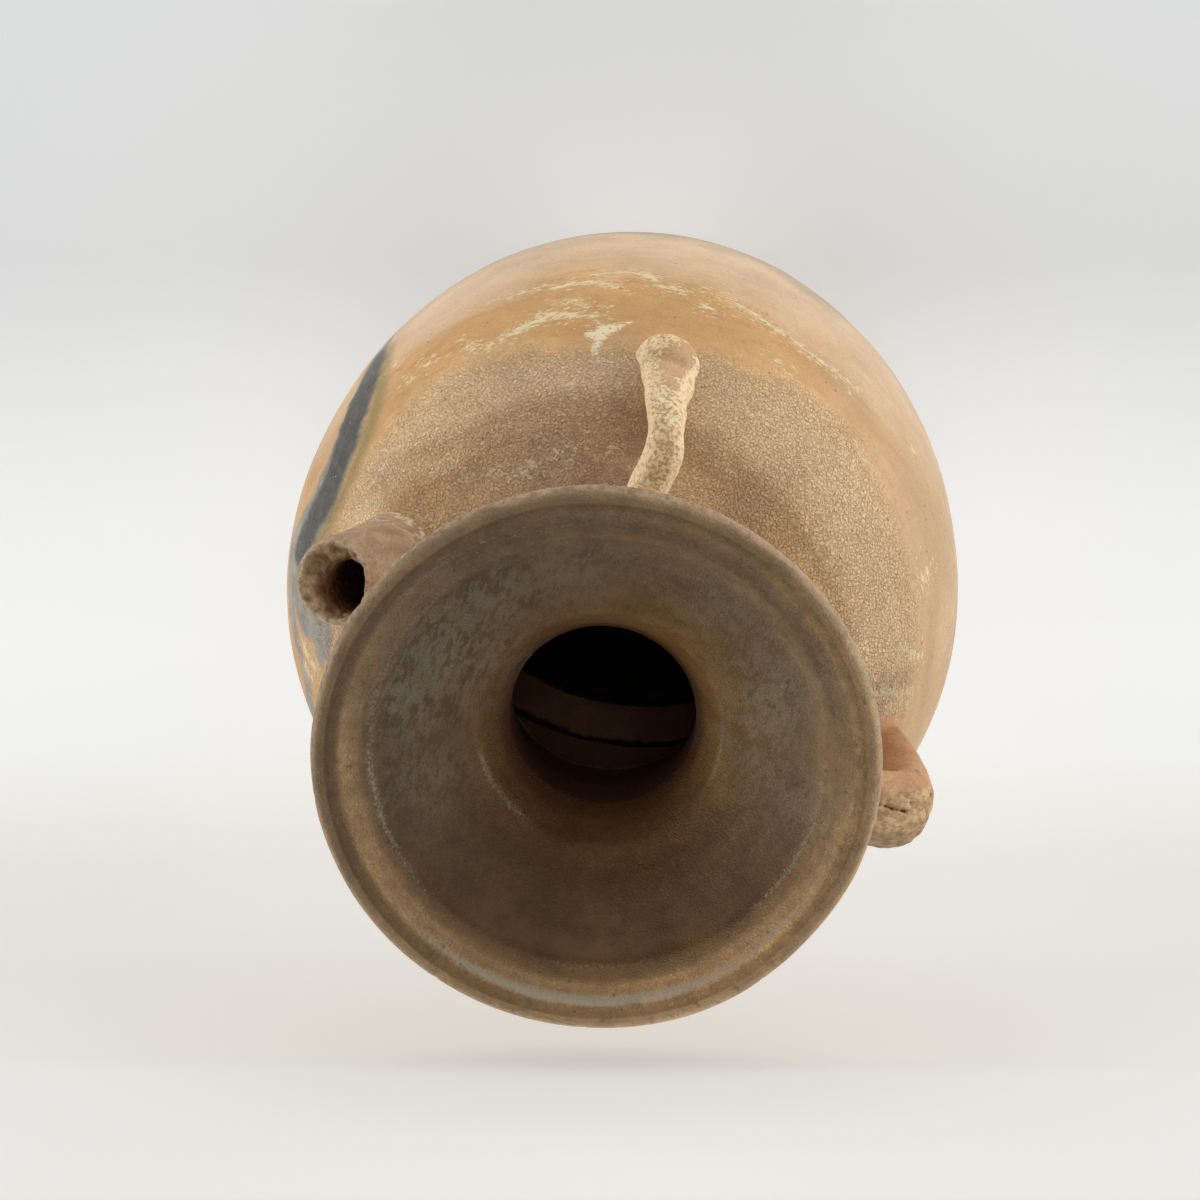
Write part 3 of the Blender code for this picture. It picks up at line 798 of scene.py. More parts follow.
def make_mouth():
    made = turned("fired_neck_and_mouth", MOUTH_ROWS, MOUTH_NORMALS, mouth_relief)
    seen = seen_at(coordinates(made.data))
    lip = MOUTH_ROWS[LIP_ROW] / MM
    above = np.interp(seen.radius * MM, *inner_line()) / MM - 2.5 < seen.height
    bore = (seen.radius < 23.5) & (seen.height < DISH_FOOT / MM)
    paint(made, dish=(above & (seen.radius < lip[0] + 0.2)) | bore)
    paint(made, film=dish_patches(seen, FILM_PATCHES), warm=dish_patches(seen, WARM_PATCHES))
    wear = np.zeros(len(seen.points))
    for radius, half_width, azimuth, spread, strength in WEAR_ARCS:
        arc = hump(seen.radius, radius, half_width) * facing(seen, azimuth, spread)
        wear = np.maximum(wear, strength * arc * ease(seen.height, 192, 196))
    paint(made, wear=wear, pits=dish_patches(seen, DISH_PITS))
    press_rim(made)
    return made


def inner_line():
    """Radius and height of the dish's inside, rising."""
    rows = MOUTH_ROWS[:LIP_ROW + 1]
    rows = rows[rows[:, 1] > 0.190]
    rows = rows[np.argsort(rows[:, 0])]
    return rows[:, 0], rows[:, 1]


def make_spout():
    made = dressed("spout", 0.42 * MM, 16)
    points = coordinates(made.data)
    root, axis, out, _ = spout_axes()
    along, away = spout_place(points)
    bore = 1 - ease(away, *BORE_MELT)
    points -= out * (bore * ease(along, 0, SPOUT_LENGTH) * BORE_OFFSET)[:, None]
    normals = coordinates(made.data, "normal")
    face = ease(along, *FACE_DOWN)
    ragged = away + cloud(points, 0.0030, 2, 17.0) * 0.9 * MM
    mouth = 1 - ease(ragged, *MOUTH_MELT)
    lumps = lumps_on(points, SPOUT_LUMPS)
    pitted = np.minimum(cloud(points, 0.0019, 3, 6.0), 0.05) * (0.75 * face + 1.0 * bore) * MM
    points -= axis * (mouth * ease(along, *SINK_DOWN) * SINK_DEPTH)[:, None]
    chip = -0.5 * MM * hump(cloud(points, 0.005, 2, 14.0), 0.6, 0.22) * face
    points += normals * (lumps + pitted + chip - 0.05 * MM)[:, None]
    move_to(made.data, smeared(points, normals, 0.9 * MM))
    paint(made, face=face, ring=face * ease(away, *RING_AWAY), hollow=mouth * face)
    # bore and deep mark where painted shade darkens the spout's bore
    paint(made, bore=(away < BORE_AWAY) * fall(along, *BORE_DOWN), deep=fall(along, *DEEP_DOWN))
    paint(made, root=fall(along, *ROOT_SLIP))
    return made


def image_up():
    turn = math.radians(IMAGE_UP_AZIMUTH)
    return np.array((math.cos(turn), math.sin(turn), 0))


def make_handle():
    made = dressed("handle", 0.45 * MM, 14)
    soothed(made, near_pixel(coordinates(made.data), FLANK_PIXEL, FLANK_SPREAD), 130)
    points = coordinates(made.data)
    normals = coordinates(made.data, "normal")
    sight = points - np.array(CAMERA.translation)
    sight /= np.linalg.norm(sight, axis=1, keepdims=True)
    shaved = fall(pixels_of(points)[:, 1], SHAVE_TOP, SHAVE_FOOT)
    shaved *= ease(-(normals * sight).sum(1), -0.1, 0.5)
    points = smeared(points + sight * (shaved * SHAVE_DEPTH)[:, None], normals, 1.6 * MM)
    tree = BVHTree.FromPolygons(points.tolist(), [tuple(face.vertices) for face in made.data.polygons])
    rising = normals @ image_up()
    topmost = ease(rising, 0.25, 0.62)
    flank = np.maximum(topmost, fall(pixels_of(points)[:, 1], *FLANK_FOOT))
    lumps = lumps_on(points, HANDLE_LUMPS)
    creases = (1 - flank) * (
        cloud(points, (0.006, 0.0016, 0.006), 3, 5.0) * 0.16 + np.abs(cloud(points, 0.0032, 2, 8.0)) * 0.22
    ) * MM
    cracks = groove(points, tree, HANDLE_CRACKS)
    swell = near_pixel(points, SWELL_PIXEL, SWELL_SPREAD) * ease(rising, -0.2, 0.6) * SWELL_HEIGHT
    move_to(made.data, points + normals * (lumps + creases - cracks)[:, None] + image_up() * swell[:, None])
    # Painted shade: the handle's foot is darkened by the rim, less where it faces the image's top
    grime = near_pixel(points, CROOK_SHADE_PIXEL, CROOK_SHADE_SPREAD) * (1 - 0.8 * topmost)
    # under: painted shade where the handle faces the image's bottom
    paint(made, flank=flank, under=ease(-rising, 0.05, 0.75), grime=grime, crack=cracks / MM)
    return made


def make_lug(node):
    """A rolled coil with a thumb-flattened pad, swaying to one side where it climbs."""
    made = dressed(node, 0.36 * MM, 12)
    soothed(made, ease(seen_at(coordinates(made.data)).radius, 54, 60), 110)
    points = coordinates(made.data)
    low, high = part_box(node)
    middle = math.degrees(math.atan2(low.y + high.y, low.x + high.x))
    seen = seen_at(points)
    side = polar(middle + 90, 1.0, 0.0)
    across = points @ side
    sway = np.interp(seen.radius, *smooth_curve(LUG_SWAY, 12).T) * MM
    width = np.interp(seen.radius, *smooth_curve(LUG_WIDTH, 12).T)
    points = points + side * ((across - across.mean()) * (width - 1) - sway)[:, None]
    points -= polar(middle, 1.0, 0.0) * (ease(seen.radius, 58, 69) * 0.9 * MM)[:, None]
    normals = coordinates(made.data, "normal")
    height, out = over_vessel(points)
    pad = ease(seen.radius, 56, 59) * ease(height, 1.5, 3.0)
    lumps = lumps_on(points, LUG_LUMPS)
    move_to(made.data, points + normals * (lumps + (0.12 + 0.3 * pad) * MM)[:, None])
    across = (points @ side - (points @ side).mean()) / MM
    bare = hump(seen.radius, PAD_RADIUS, 3.8) * hump(across, PAD_SIDE, 4.8)
    paint(made, bare=bare, edge=ease(np.abs(normals @ side), 0.35, 0.9))
    return made


# Finishes


class Finish:
    """A procedural material, laid up coat by coat. Most calls add nodes and give an output back."""

    def __init__(self, name, roughness, shine=0.5):
        self.material = bpy.data.materials.new(name)
        self.material.use_nodes = True
        self.tree = self.material.node_tree
        self.shader = self.tree.nodes["Principled BSDF"]
        self.shader.inputs["Roughness"].default_value = roughness
        self.shader.inputs["Specular IOR Level"].default_value = shine
        self.colour = None
        self.normal = None
        self.place = self.node("TexCoord").outputs["Object"]
        apart = self.node("SeparateXYZ", {0: self.place})
        self.x, self.y, self.z = (self.times(axis, 1 / MM) for axis in apart.outputs)
        flat = self.node("CombineXYZ", {0: self.x, 1: self.y})
        self.radius = self.node("VectorMath", {0: flat.outputs[0]}, operation="LENGTH").outputs["Value"]

    def feed(self, socket, value):
        """Join an output to a socket, or give the socket a value of its own."""
        if isinstance(value, bpy.types.NodeSocket):
            self.tree.links.new(value, socket)
        elif socket.type == "RGBA":
            socket.default_value = (*value, 1)
        else:
            socket.default_value = value

    def node(self, kind, inputs=None, **settings):
        made = self.tree.nodes.new("ShaderNode" + kind)
        for key, value in settings.items():
            setattr(made, key, value)
        for key, value in (inputs or {}).items():
            self.feed(made.inputs[key], value)
        return made

    def math(self, operation, one, other=0.0, third=0.0):
        return self.node("Math", {0: one, 1: other, 2: third}, operation=operation).outputs[0]

    def add(self, one, other):
        return self.math("ADD", one, other)

    def times(self, one, *others):
        for other in others:
            one = self.math("MULTIPLY", one, other)
        return one

    def about(self, value, reach):
        """A cloudy value brought about 0 and spread over a reach."""
        return self.times(self.add(value, -0.5), reach)

    def toward(self, azimuth):
        """How far points lie from the axis in a direction, in millimetres."""
        turn = math.radians(azimuth)
        return self.add(self.times(self.x, math.cos(turn)), self.times(self.y, math.sin(turn)))

    def field(self, name):
        return self.node("Attribute", attribute_name=name).outputs["Fac"]

    def between(self, value, low=0.3, high=0.7, out_low=0.0, out_high=1.0):
        """Smoothly from one value to another, as an input goes from low to high."""
        span = {"From Min": low, "From Max": high, "To Min": out_low, "To Max": out_high}
        return self.node("MapRange", {"Value": value, **span}, interpolation_type="SMOOTHSTEP").outputs[0]

    def mapped(self, seed, scale, vector=None):
        """Places in a pattern, moved aside by a seed and scaled."""
        inputs = {"Vector": vector or self.place, "Location": (seed,) * 3, "Scale": scale}
        return self.node("Mapping", inputs).outputs[0]

    def noise(self, size, layers=3.0, rough=0.55, stretch=(1, 1, 1), seed=0.0, vector=None):
        """Cloudy values from 0 to 1, with lumps of a size in millimetres, stretched along each axis."""
        unit = MM if vector is None else 1
        places = self.mapped(seed, tuple(1 / (size * unit * longer) for longer in stretch), vector)
        inputs = {"Vector": places, "Scale": 1.0, "Detail": layers, "Roughness": rough}
        return self.node("TexNoise", inputs).outputs["Fac"]

    def rings(self, size, long, layers=3.0, seed=0.0):
        """Cloudy values drawn out around the axis, for a surface that faces up: fine across the radius."""
        vector = self.node("CombineXYZ", {0: self.x, 1: self.y, 2: self.radius}).outputs[0]
        return self.noise(size, layers, stretch=(long, long, 1), seed=seed, vector=vector)

    def cells(self, size, seed, vector=None, **settings):
        """Scattered cells of a size in millimetres."""
        places = self.mapped(seed, (1 / (size * MM),) * 3, vector)
        return self.node("TexVoronoi", {"Vector": places, "Scale": 1.0}, **settings).outputs

    def crackle(self, size, bend, seed=0.0):
        """Distance from the meandering lines between cells, 0 on the lines."""
        swirl = self.node("TexNoise", {"Vector": self.place, "Scale": 0.45 / (size * MM), "Detail": 3.0})
        inputs = {0: swirl.outputs["Color"], 1: (bend * size * MM,) * 3, 2: self.place}
        moved = self.node("VectorMath", inputs, operation="MULTIPLY_ADD").outputs[0]
        return self.cells(size, seed, moved, feature="DISTANCE_TO_EDGE")["Distance"]

    def specks(self, size, share, seed=0.0):
        """Round specks in this share of cells."""
        cells = self.cells(size, seed)
        value = self.node("SeparateColor", {0: cells["Color"]}).outputs[0]
        chosen = self.math("GREATER_THAN", value, 1 - share)
        return self.times(chosen, self.between(cells["Distance"], 0.16, 0.34, 1.0, 0.0))

    def mix(self, share, one, other, blend="MIX"):
        inputs = {0: share, 6: one, 7: other}
        return self.node("Mix", inputs, data_type="RGBA", blend_type=blend, clamp_factor=True).outputs[2]

    def ramp(self, value, stops):
        """A colour that goes through stops of (value, colour)."""
        made = self.node("ValToRGB", {0: value})
        elements = made.color_ramp.elements
        for index, (at, colour) in enumerate(stops):
            element = elements[index] if index < 2 else elements.new(at)
            element.position = at
            element.color = (*colour, 1)
        return made.outputs[0]

    def grey(self, amount):
        return self.node("CombineColor", {0: amount, 1: amount, 2: amount}).outputs[0]

    def lay(self, colour, *shares, blend="MIX"):
        """Lay a colour over the coats below, by the product of its shares."""
        self.colour = self.mix(self.times(*shares), self.colour, colour, blend)

    def shade(self, colour, *shares):
        """Multiply the coats below by a colour."""
        self.lay(colour, *shares, blend="MULTIPLY")

    def tint(self, value, dark, light, low=0.3, high=0.7, share=1.0):
        """Multiply the coats below by dark to light, as a value goes from low to high."""
        self.shade(self.grey(self.between(value, low, high, dark, light)), share)

    def bump(self, height, depth_mm):
        """Raise the surface by a height, over the bumps that it has."""
        inputs = {"Height": height, "Strength": 1.0, "Distance": depth_mm * MM}
        if self.normal is not None:
            inputs["Normal"] = self.normal
        self.normal = self.node("Bump", inputs).outputs[0]

    def finished(self, roughness):
        """The material, with its colour, roughness and bumps joined to the shader."""
        for name, value in (("Base Color", self.colour), ("Roughness", roughness), ("Normal", self.normal)):
            self.feed(self.shader.inputs[name], value)
        return self.material


# Tones of the glazes, the paint, the slip and the clay
OCHRE = (0.745, 0.415, 0.155)
OCHRE_DEEP = (0.580, 0.310, 0.120)
OCHRE_PALE = (0.76, 0.53, 0.335)
PINK_TAN = (0.870, 0.592, 0.335)
SHOULDER_BROWN = (0.820, 0.510, 0.255)
GLAZE_BANDS = (
    (0.0, (0.50, 0.375, 0.28)), (0.12, (0.64, 0.49, 0.36)), (0.18, (0.900, 0.660, 0.440)),
    (0.235, (0.80, 0.545, 0.325)), (0.31, OCHRE), (0.455, OCHRE), (0.50, (0.88, 0.545, 0.25)),
    (0.56, PINK_TAN), (0.66, PINK_TAN), (0.74, (0.515, 0.285, 0.112)), (0.84, SHOULDER_BROWN),
    (1.0, (0.38, 0.225, 0.12)),
)
BELLY_GREY = (0.70, 0.56, 0.43)
BELLY_WISP = (0.95, 0.74, 0.52)
# Painted shade and painted light on the body's sides, by where the light falls
RIGHT_PAINTED_SHADE = (0.91, 0.90, 0.88)
NECK_PAINTED_LIGHT = (1.24, 1.31, 1.38)
CRACKLE_BROWN = (0.40, 0.225, 0.110)
GRAIN_PINK = (0.98, 0.77, 0.57)
CREAM = (1.0, 0.81, 0.48)
CHALK = (1.0, 0.84, 0.56)
CRUST = (1.0, 0.77, 0.48)
INK = (0.034, 0.038, 0.034)
SLATE = (0.235, 0.228, 0.200)
SLATE_FILM = (0.390, 0.385, 0.350)
SLATE_WORN = (0.60, 0.55, 0.46)
STROKE_DUST = (0.50, 0.46, 0.38)
GREEN = (0.330, 0.245, 0.080)
OLIVE = (0.490, 0.275, 0.105)
HALO = (0.760, 0.490, 0.260)
STAIN = (0.350, 0.205, 0.105)
BODY_SPECK = (0.20, 0.13, 0.085)
INSIDE_CLAY = ((0.780, 0.420, 0.240), (0.58, 0.30, 0.17))
# Painted shade in the throwing grooves and on the floor inside the body
INSIDE_GROOVE_SHADE = (0.05, 0.025, 0.018)
INSIDE_FLOOR_SHADE = (0.010, 0.006, 0.005)
DISH_TONES = (
    (0.0, (0.085, 0.036, 0.015)), (0.05, (0.175, 0.088, 0.034)), (0.10, (0.250, 0.137, 0.054)),
    (0.18, (0.280, 0.158, 0.068)), (0.27, (0.232, 0.135, 0.058)), (0.38, (0.226, 0.142, 0.072)),
    (0.52, (0.204, 0.135, 0.084)), (0.63, (0.210, 0.140, 0.088)), (0.68, (0.270, 0.182, 0.114)),
    (0.74, (0.310, 0.202, 0.125)), (0.80, (0.345, 0.225, 0.135)), (0.84, (0.430, 0.282, 0.160)),
    (0.90, (0.305, 0.186, 0.100)), (0.935, (0.340, 0.215, 0.120)), (1.0, (0.480, 0.330, 0.210)),
)
DISH_WARMTH = (0.92, 0.86, 0.68)
# Painted shade on the dish's low side, and painted light in its throat
DISH_LOW_SHADE = (0.39, 0.30, 0.23)
THROAT_LIGHT = (1.08, 1.05, 1.02)
BORE_BROWN = (0.090, 0.034, 0.014)
DISH_WARM = (0.42, 0.23, 0.095)
DISH_FILM = (0.365, 0.325, 0.235)
DISH_WORN = (0.60, 0.53, 0.40)
DISH_PIT = (0.13, 0.058, 0.026)
DISH_SPECK = (0.09, 0.05, 0.03)
NECK_TONES = (
    (0.0, SHOULDER_BROWN), (0.35, (0.50, 0.33, 0.18)), (0.8, (0.53, 0.345, 0.19)), (1.0, (0.50, 0.32, 0.16)),
)
LIP_WORN = (0.66, 0.48, 0.32)
LIP_DIRT = (0.20, 0.125, 0.070)
SPOUT_TONES = ((0.330, 0.200, 0.107), (0.490, 0.320, 0.180))
SPOUT_SCRATCH = (0.47, 0.38, 0.29)
SPOUT_SLIP = (0.84, 0.66, 0.43)
FACE_TONES = ((0.330, 0.190, 0.090), (0.540, 0.345, 0.175))
FACE_RING = (0.680, 0.520, 0.350)
# Painted shade in the spout's hollow face and its bore
FACE_HOLLOW_SHADE = (0.210, 0.110, 0.048)
SPOUT_BORE_SHADE_TONES = ((0.150, 0.062, 0.020), (0.330, 0.165, 0.065))
SPOUT_BORE_DEEP_SHADE = (0.030, 0.012, 0.005)
SPOUT_SPECK = (0.12, 0.065, 0.035)
FLANK_TONES = ((0.530, 0.275, 0.128), (0.620, 0.355, 0.180))
FLANK_SCRATCH = (0.68, 0.53, 0.36)
STRAP_TONES = ((0.450, 0.270, 0.135), (0.740, 0.490, 0.270))
STRAP_SLIP = (0.80, 0.62, 0.39)
STRAP_DARK = (0.36, 0.205, 0.10)
# Painted shade for the handle's foot by the rim
HANDLE_CROOK_SHADE = (0.230, 0.105, 0.040)
CRACK_EDGE = (0.36, 0.20, 0.10)
CRACK_DEEP = (0.12, 0.065, 0.038)
HANDLE_SPECK = (0.16, 0.09, 0.05)
LUG_CLAY = ((0.61, 0.355, 0.175), (0.71, 0.445, 0.245))
LUG_COAT = ((1.0, 0.81, 0.49), (1.0, 0.75, 0.42))
LUG_SCRIBBLE = (0.50, 0.300, 0.140)
DISH_SHINE = 0.3
HANDLE_SHINE = 0.22
FLOOR_SHINE = 0.2


def body_ground(f, tier):
    """Bands of glaze from the foot to the shoulder, clouded and streaked."""
    f.colour = f.ramp(tier, GLAZE_BANDS)
    belly = f.between(tier, 0.22, 0.27, 1.0, 0.0)
    mottle = f.noise(10, 4, seed=9)
    f.lay(f.mix(0.5, f.colour, HALO), f.between(mottle, 0.35, 0.7, 0.0, 0.45))
    f.tint(f.noise(24, 3, seed=12), 0.90, 1.09)
    streaks = f.noise(1.3, 4, stretch=(26, 26, 1), seed=2)
    f.lay(f.mix(0.34, f.colour, BELLY_GREY), belly, f.between(streaks, 0.50, 0.68))
    wisps = f.between(f.noise(2.6, 4, 0.62, stretch=(5, 5, 1), seed=15), 0.54, 0.68, 0.0, 0.55)
    wisps = f.times(wisps, f.between(f.noise(18, 3, seed=19), 0.42, 0.62))
    f.lay(BELLY_WISP, belly, wisps)
    ochre = f.times(f.between(tier, 0.24, 0.30), f.between(tier, 0.56, 0.46))
    deep = f.between(f.noise(2.4, 5, 0.66, stretch=(3, 3, 1), seed=18), 0.46, 0.66, 0.0, 0.6)
    f.lay(OCHRE_DEEP, ochre, deep)
    return ochre, streaks


def body_side_light(f, tier, pink, ochre):
    """Painted light and shade: the glaze is painted lighter and darker towards the image's sides, as the
    light falls on them.
    """
    right = f.toward(IMAGE_RIGHT_AZIMUTH)
    f.tint(f.math("ABSOLUTE", right), 0.98, 1.26, 15.0, 56.0, pink)
    f.tint(right, 1.1, 1.0, -44.0, -14.0, pink)
    f.lay(OCHRE_PALE, ochre, f.between(right, 30.0, 72.0, 0.0, 0.55))
    f.shade(RIGHT_PAINTED_SHADE, f.between(right, 20.0, 66.0), f.between(tier, 0.42, 0.34))
    f.shade(NECK_PAINTED_LIGHT, f.between(tier, 0.66, 0.72), f.between(right, 30.0, 42.0))


def body_grain(f, pink):
    """A fine crackled grain, strongest where the glaze is pink."""
    grain = f.noise(0.52, 2, 0.6, seed=20)
    coarse = f.noise(1.8, 4, 0.6, seed=23)
    lines = f.between(f.crackle(0.85, 1.5, seed=7), 0.0, 0.20, 1.0, 0.0)
    strength = f.add(f.times(pink, 0.40), 0.22)
    f.shade(f.grey(f.add(1.0, f.times(strength, f.add(f.about(grain, 1.7), f.about(coarse, 0.6))))), 1.0)
    f.lay(CRACKLE_BROWN, lines, f.add(f.times(pink, 0.26), 0.07))
    f.lay(GRAIN_PINK, pink, f.between(grain, 0.54, 0.66, 0.0, 0.34))
    return grain, coarse, lines


def body_strokes(f):
    """Painted loops: a dark core in a grey film, with a green edge and a warm halo."""
    wander = f.about(f.noise(5.0, 4, seed=61), 3.6)
    feather = f.about(f.noise(0.9, 4, 0.62, seed=64), 2.6)
    slate = f.add(f.field("slate"), f.add(wander, feather))
    ink = f.add(f.field("ink"), f.add(wander, f.times(feather, 0.4)))
    green = f.add(f.field("green"), f.add(f.times(wander, 0.6), f.times(feather, 0.35)))
    olive = f.add(f.field("olive"), f.add(wander, f.times(feather, 1.3)))
    f.lay(HALO, f.between(slate, 9.0, 0.5, 0.0, 0.55))
    f.lay(OLIVE, f.between(olive, 3.2, -2.6, 0.0, 0.66))
    film = f.mix(f.between(f.noise(4.5, 4, 0.6, seed=71), 0.36, 0.64), SLATE, SLATE_FILM)
    film = f.mix(f.between(f.noise(1.0, 3, 0.66, seed=75), 0.56, 0.70, 0.0, 0.5), film, SLATE_WORN)
    f.lay(film, f.between(slate, 1.2, -1.4, 0.0, 0.9))
    f.lay(GREEN, f.between(green, 2.5, -1.8, 0.0, 0.85))
    blot = f.add(ink, f.about(f.noise(7.0, 3, seed=73), 3.0))
    depth = f.between(f.noise(2.6, 4, 0.62, stretch=(1, 1, 2.5), seed=79), 0.34, 0.60, 0.86, 1.0)
    f.lay(INK, f.between(blot, 1.0, -2.0), depth)
    inked = f.between(slate, 0.5, -2.0)
    f.lay(STROKE_DUST, inked, f.between(f.noise(0.40, 4, 0.70, seed=77), 0.58, 0.68, 0.0, 0.34))
    return inked


def body_marks(f, tier):
    """Crusts, stains, and lines and flecks of worn cream slip. Gives what stands proud of the wall."""
    stain = f.times(f.field("stain"), f.between(f.noise(3.2, 4, 0.62, seed=33), 0.30, 0.62, 0.2, 1.0))
    f.lay(STAIN, stain, 0.7)
    lumpy = f.about(f.noise(0.9, 4, 0.68, seed=31), 3.4)
    crusty = f.between(f.add(f.field("crust"), lumpy), 0.58, 1.1)
    f.lay(CRUST, crusty, 0.75)
    ragged = f.add(f.noise(0.55, 5, 0.75, stretch=(2.4, 2.4, 0.8), seed=41), -0.5)
    broken = f.noise(1.1, 5, 0.72, stretch=(2.4, 2.4, 0.7), seed=43)
    slip = f.field("cream")
    broken = f.between(f.add(broken, f.between(slip, 1.0, -0.8, -0.02, 0.06)), 0.47, 0.53)
    cream = f.times(f.between(f.add(slip, f.times(ragged, 7.0)), 1.2, 0.6), broken)
    f.lay(CREAM, cream, 0.95)
    near = f.between(slip, 8.0, 0.5, 0.0, 0.145)
    stray = f.add(f.noise(0.7, 3, 0.62, stretch=(2.6, 2.6, 0.9), seed=47), near)
    f.lay(CREAM, f.between(stray, 0.71, 0.75, 0.0, 0.8), f.between(tier, 0.2, 0.3))
    star = f.between(f.add(f.field("star"), f.times(ragged, 5.5)), 0.2, -0.5)
    f.lay(CHALK, star)
    f.lay(STAIN, star, f.specks(0.9, 0.25, seed=4))
    f.lay(BODY_SPECK, f.specks(1.3, 0.03, seed=8), 0.6)
    return f.add(f.times(cream, 0.25), crusty)


def ring_turns(f):
    """How many throwing rings points inside the body lie above the lowest groove."""
    turns = f.times(f.math("ARCTAN2", f.y, f.x), -1 / math.tau)
    turns = f.add(turns, RING_AZIMUTH / 360 - RING_START / RING_PITCH)
    turns = f.add(f.times(f.z, MM / RING_PITCH), turns)
    return f.add(turns, f.about(f.noise(4.0, 4, seed=84), 0.16))


def body_inside(f):
    """Bare clay, painted lighter on one side as the light falls into it, with painted shade in its throwing
    grooves, over a floor painted near-black as shade.
    """
    turns = ring_turns(f)
    grooves = f.between(f.math("ABSOLUTE", f.math("WRAP", turns, 0.5, -0.5)), 0.12, 0.06)
    f.colour = f.mix(f.noise(7, 4, seed=80), *INSIDE_CLAY)
    # Painted light and shade: the inside is lighter towards the image's left and darker towards its right
    f.tint(f.toward(IMAGE_RIGHT_AZIMUTH), 1.25, 0.6, -40.0, 30.0)
    # Painted shade in the throwing grooves
    f.lay(INSIDE_GROOVE_SHADE, grooves, 0.93)
    # The floor inside, painted near-black as shade
    f.colour = f.mix(f.between(turns, -0.06, 0.02), INSIDE_FLOOR_SHADE, f.colour)


def body_finish():
    f = Finish("worn_body_glaze", 0.62)
    tier = f.add(f.field("tier"), f.about(f.noise(16, 4, seed=3), 0.15))
    tier = f.add(tier, f.about(f.noise(3.0, 4, 0.6, seed=5), 0.05))
    pink = f.between(tier, 0.46, 0.54)
    ochre, streaks = body_ground(f, tier)
    body_side_light(f, tier, pink, ochre)
    inked = body_strokes(f)
    grain, coarse, lines = body_grain(f, pink)
    raised = body_marks(f, tier)
    outside = f.colour
    body_inside(f)
    f.colour = f.mix(f.field("inside"), outside, f.colour)
    f.bump(f.times(grain, f.add(f.times(pink, 0.7), 0.3)), 0.42)
    f.bump(f.times(lines, f.add(f.times(pink, -0.8), -0.2)), 0.26)
    f.bump(coarse, 0.14)
    f.bump(raised, 0.20)
    f.bump(streaks, 0.08)
    return f.finished(f.add(f.between(grain, 0.3, 0.7, 0.66, 0.54), f.times(inked, -0.12)))


def dish_ground(f, at, lines, grain, mottle, leather):
    """The dish's rings of brown, clouded and leathery, and darker where the glaze ran thin."""
    share = f.node("MapRange", {"Value": at, "From Min": 18.0, "From Max": 60.0}).outputs[0]
    f.colour = f.ramp(share, DISH_TONES)
    f.tint(lines, 0.93, 1.07)
    f.tint(f.rings(3.4, 12, 3, seed=6), 0.94, 1.06)
    f.tint(mottle, 0.86, 1.13)
    f.tint(f.noise(2.4, 5, 0.66, seed=18), 0.86, 1.15, 0.34, 0.66)
    f.tint(grain, 0.78, 1.22, 0.25, 0.75)
    f.tint(leather, 0.86, 1.04, 0.0, 0.25)
    f.shade(DISH_WARMTH, 1.0)


def dish_side_light(f):
    """Painted light and shade: the dish is painted lighter towards the image's right and darker on its low
    side, and its wall and throat lighter on one side, as the light falls.
    """
    up = f.toward(IMAGE_UP_AZIMUTH)
    f.tint(f.toward(IMAGE_RIGHT_AZIMUTH), 0.82, 1.40, -45.0, 45.0)
    f.shade(DISH_LOW_SHADE, f.between(up, -4.0, -42.0), f.between(f.radius, 48.0, 46.0))
    f.shade(THROAT_LIGHT, f.between(f.radius, 29.0, 26.0), f.between(up, -14.0, 2.0))
    wall = f.times(f.between(f.radius, 47.5, 50.0), f.between(f.radius, 54.0, 52.5))
    f.tint(f.toward(IMAGE_UP_AZIMUTH + 155), 0.54, 2.0, -46.0, 46.0, wall)
    f.lay(BORE_BROWN, f.between(f.z, 200.0, 194.0))


def dish_marks(f, grain, mottle):
    """Warm runs, a chalky film, wear, pits and specks. Gives the scuffs and the wear."""
    warm = f.times(f.field("warm"), f.between(mottle, 0.25, 0.6, 0.5, 1.0))
    f.lay(DISH_WARM, warm, 0.5)
    scuff = f.noise(1.1, 4, 0.65, stretch=(1, 3.0, 3.0), seed=21)
    film = f.times(f.field("film"), f.between(f.add(scuff, f.times(mottle, 0.5)), 0.66, 0.80, 0.1, 1.0))
    chalky = f.mix(1.0, DISH_FILM, f.grey(f.between(grain, 0.3, 0.7, 0.75, 1.25)), "MULTIPLY")
    f.lay(chalky, film, 0.62)
    scuffed = f.about(f.noise(0.7, 5, 0.75, seed=24), 3.2)
    worn = f.between(f.add(f.field("wear"), scuffed), 0.35, 1.35)
    f.lay(DISH_WORN, worn, 0.80)
    pitted = f.add(f.field("pits"), f.about(f.noise(1.2, 3, seed=27), 1.2))
    f.lay(DISH_PIT, f.between(pitted, 0.3, 0.9), 0.8)
    f.lay(DISH_SPECK, f.specks(1.6, 0.05, seed=5), 0.5)
    return scuff, worn


def neck_outside(f, grain, mottle):
    """The neck and the dish's underside, streaked round."""
    f.colour = f.ramp(f.between(f.z, 168.0, 228.0), NECK_TONES)
    f.tint(f.noise(1.2, 4, stretch=(18, 18, 1), seed=30), 0.84, 1.16)
    f.tint(mottle, 0.82, 1.16)
    f.tint(grain, 0.84, 1.16, 0.25, 0.75)


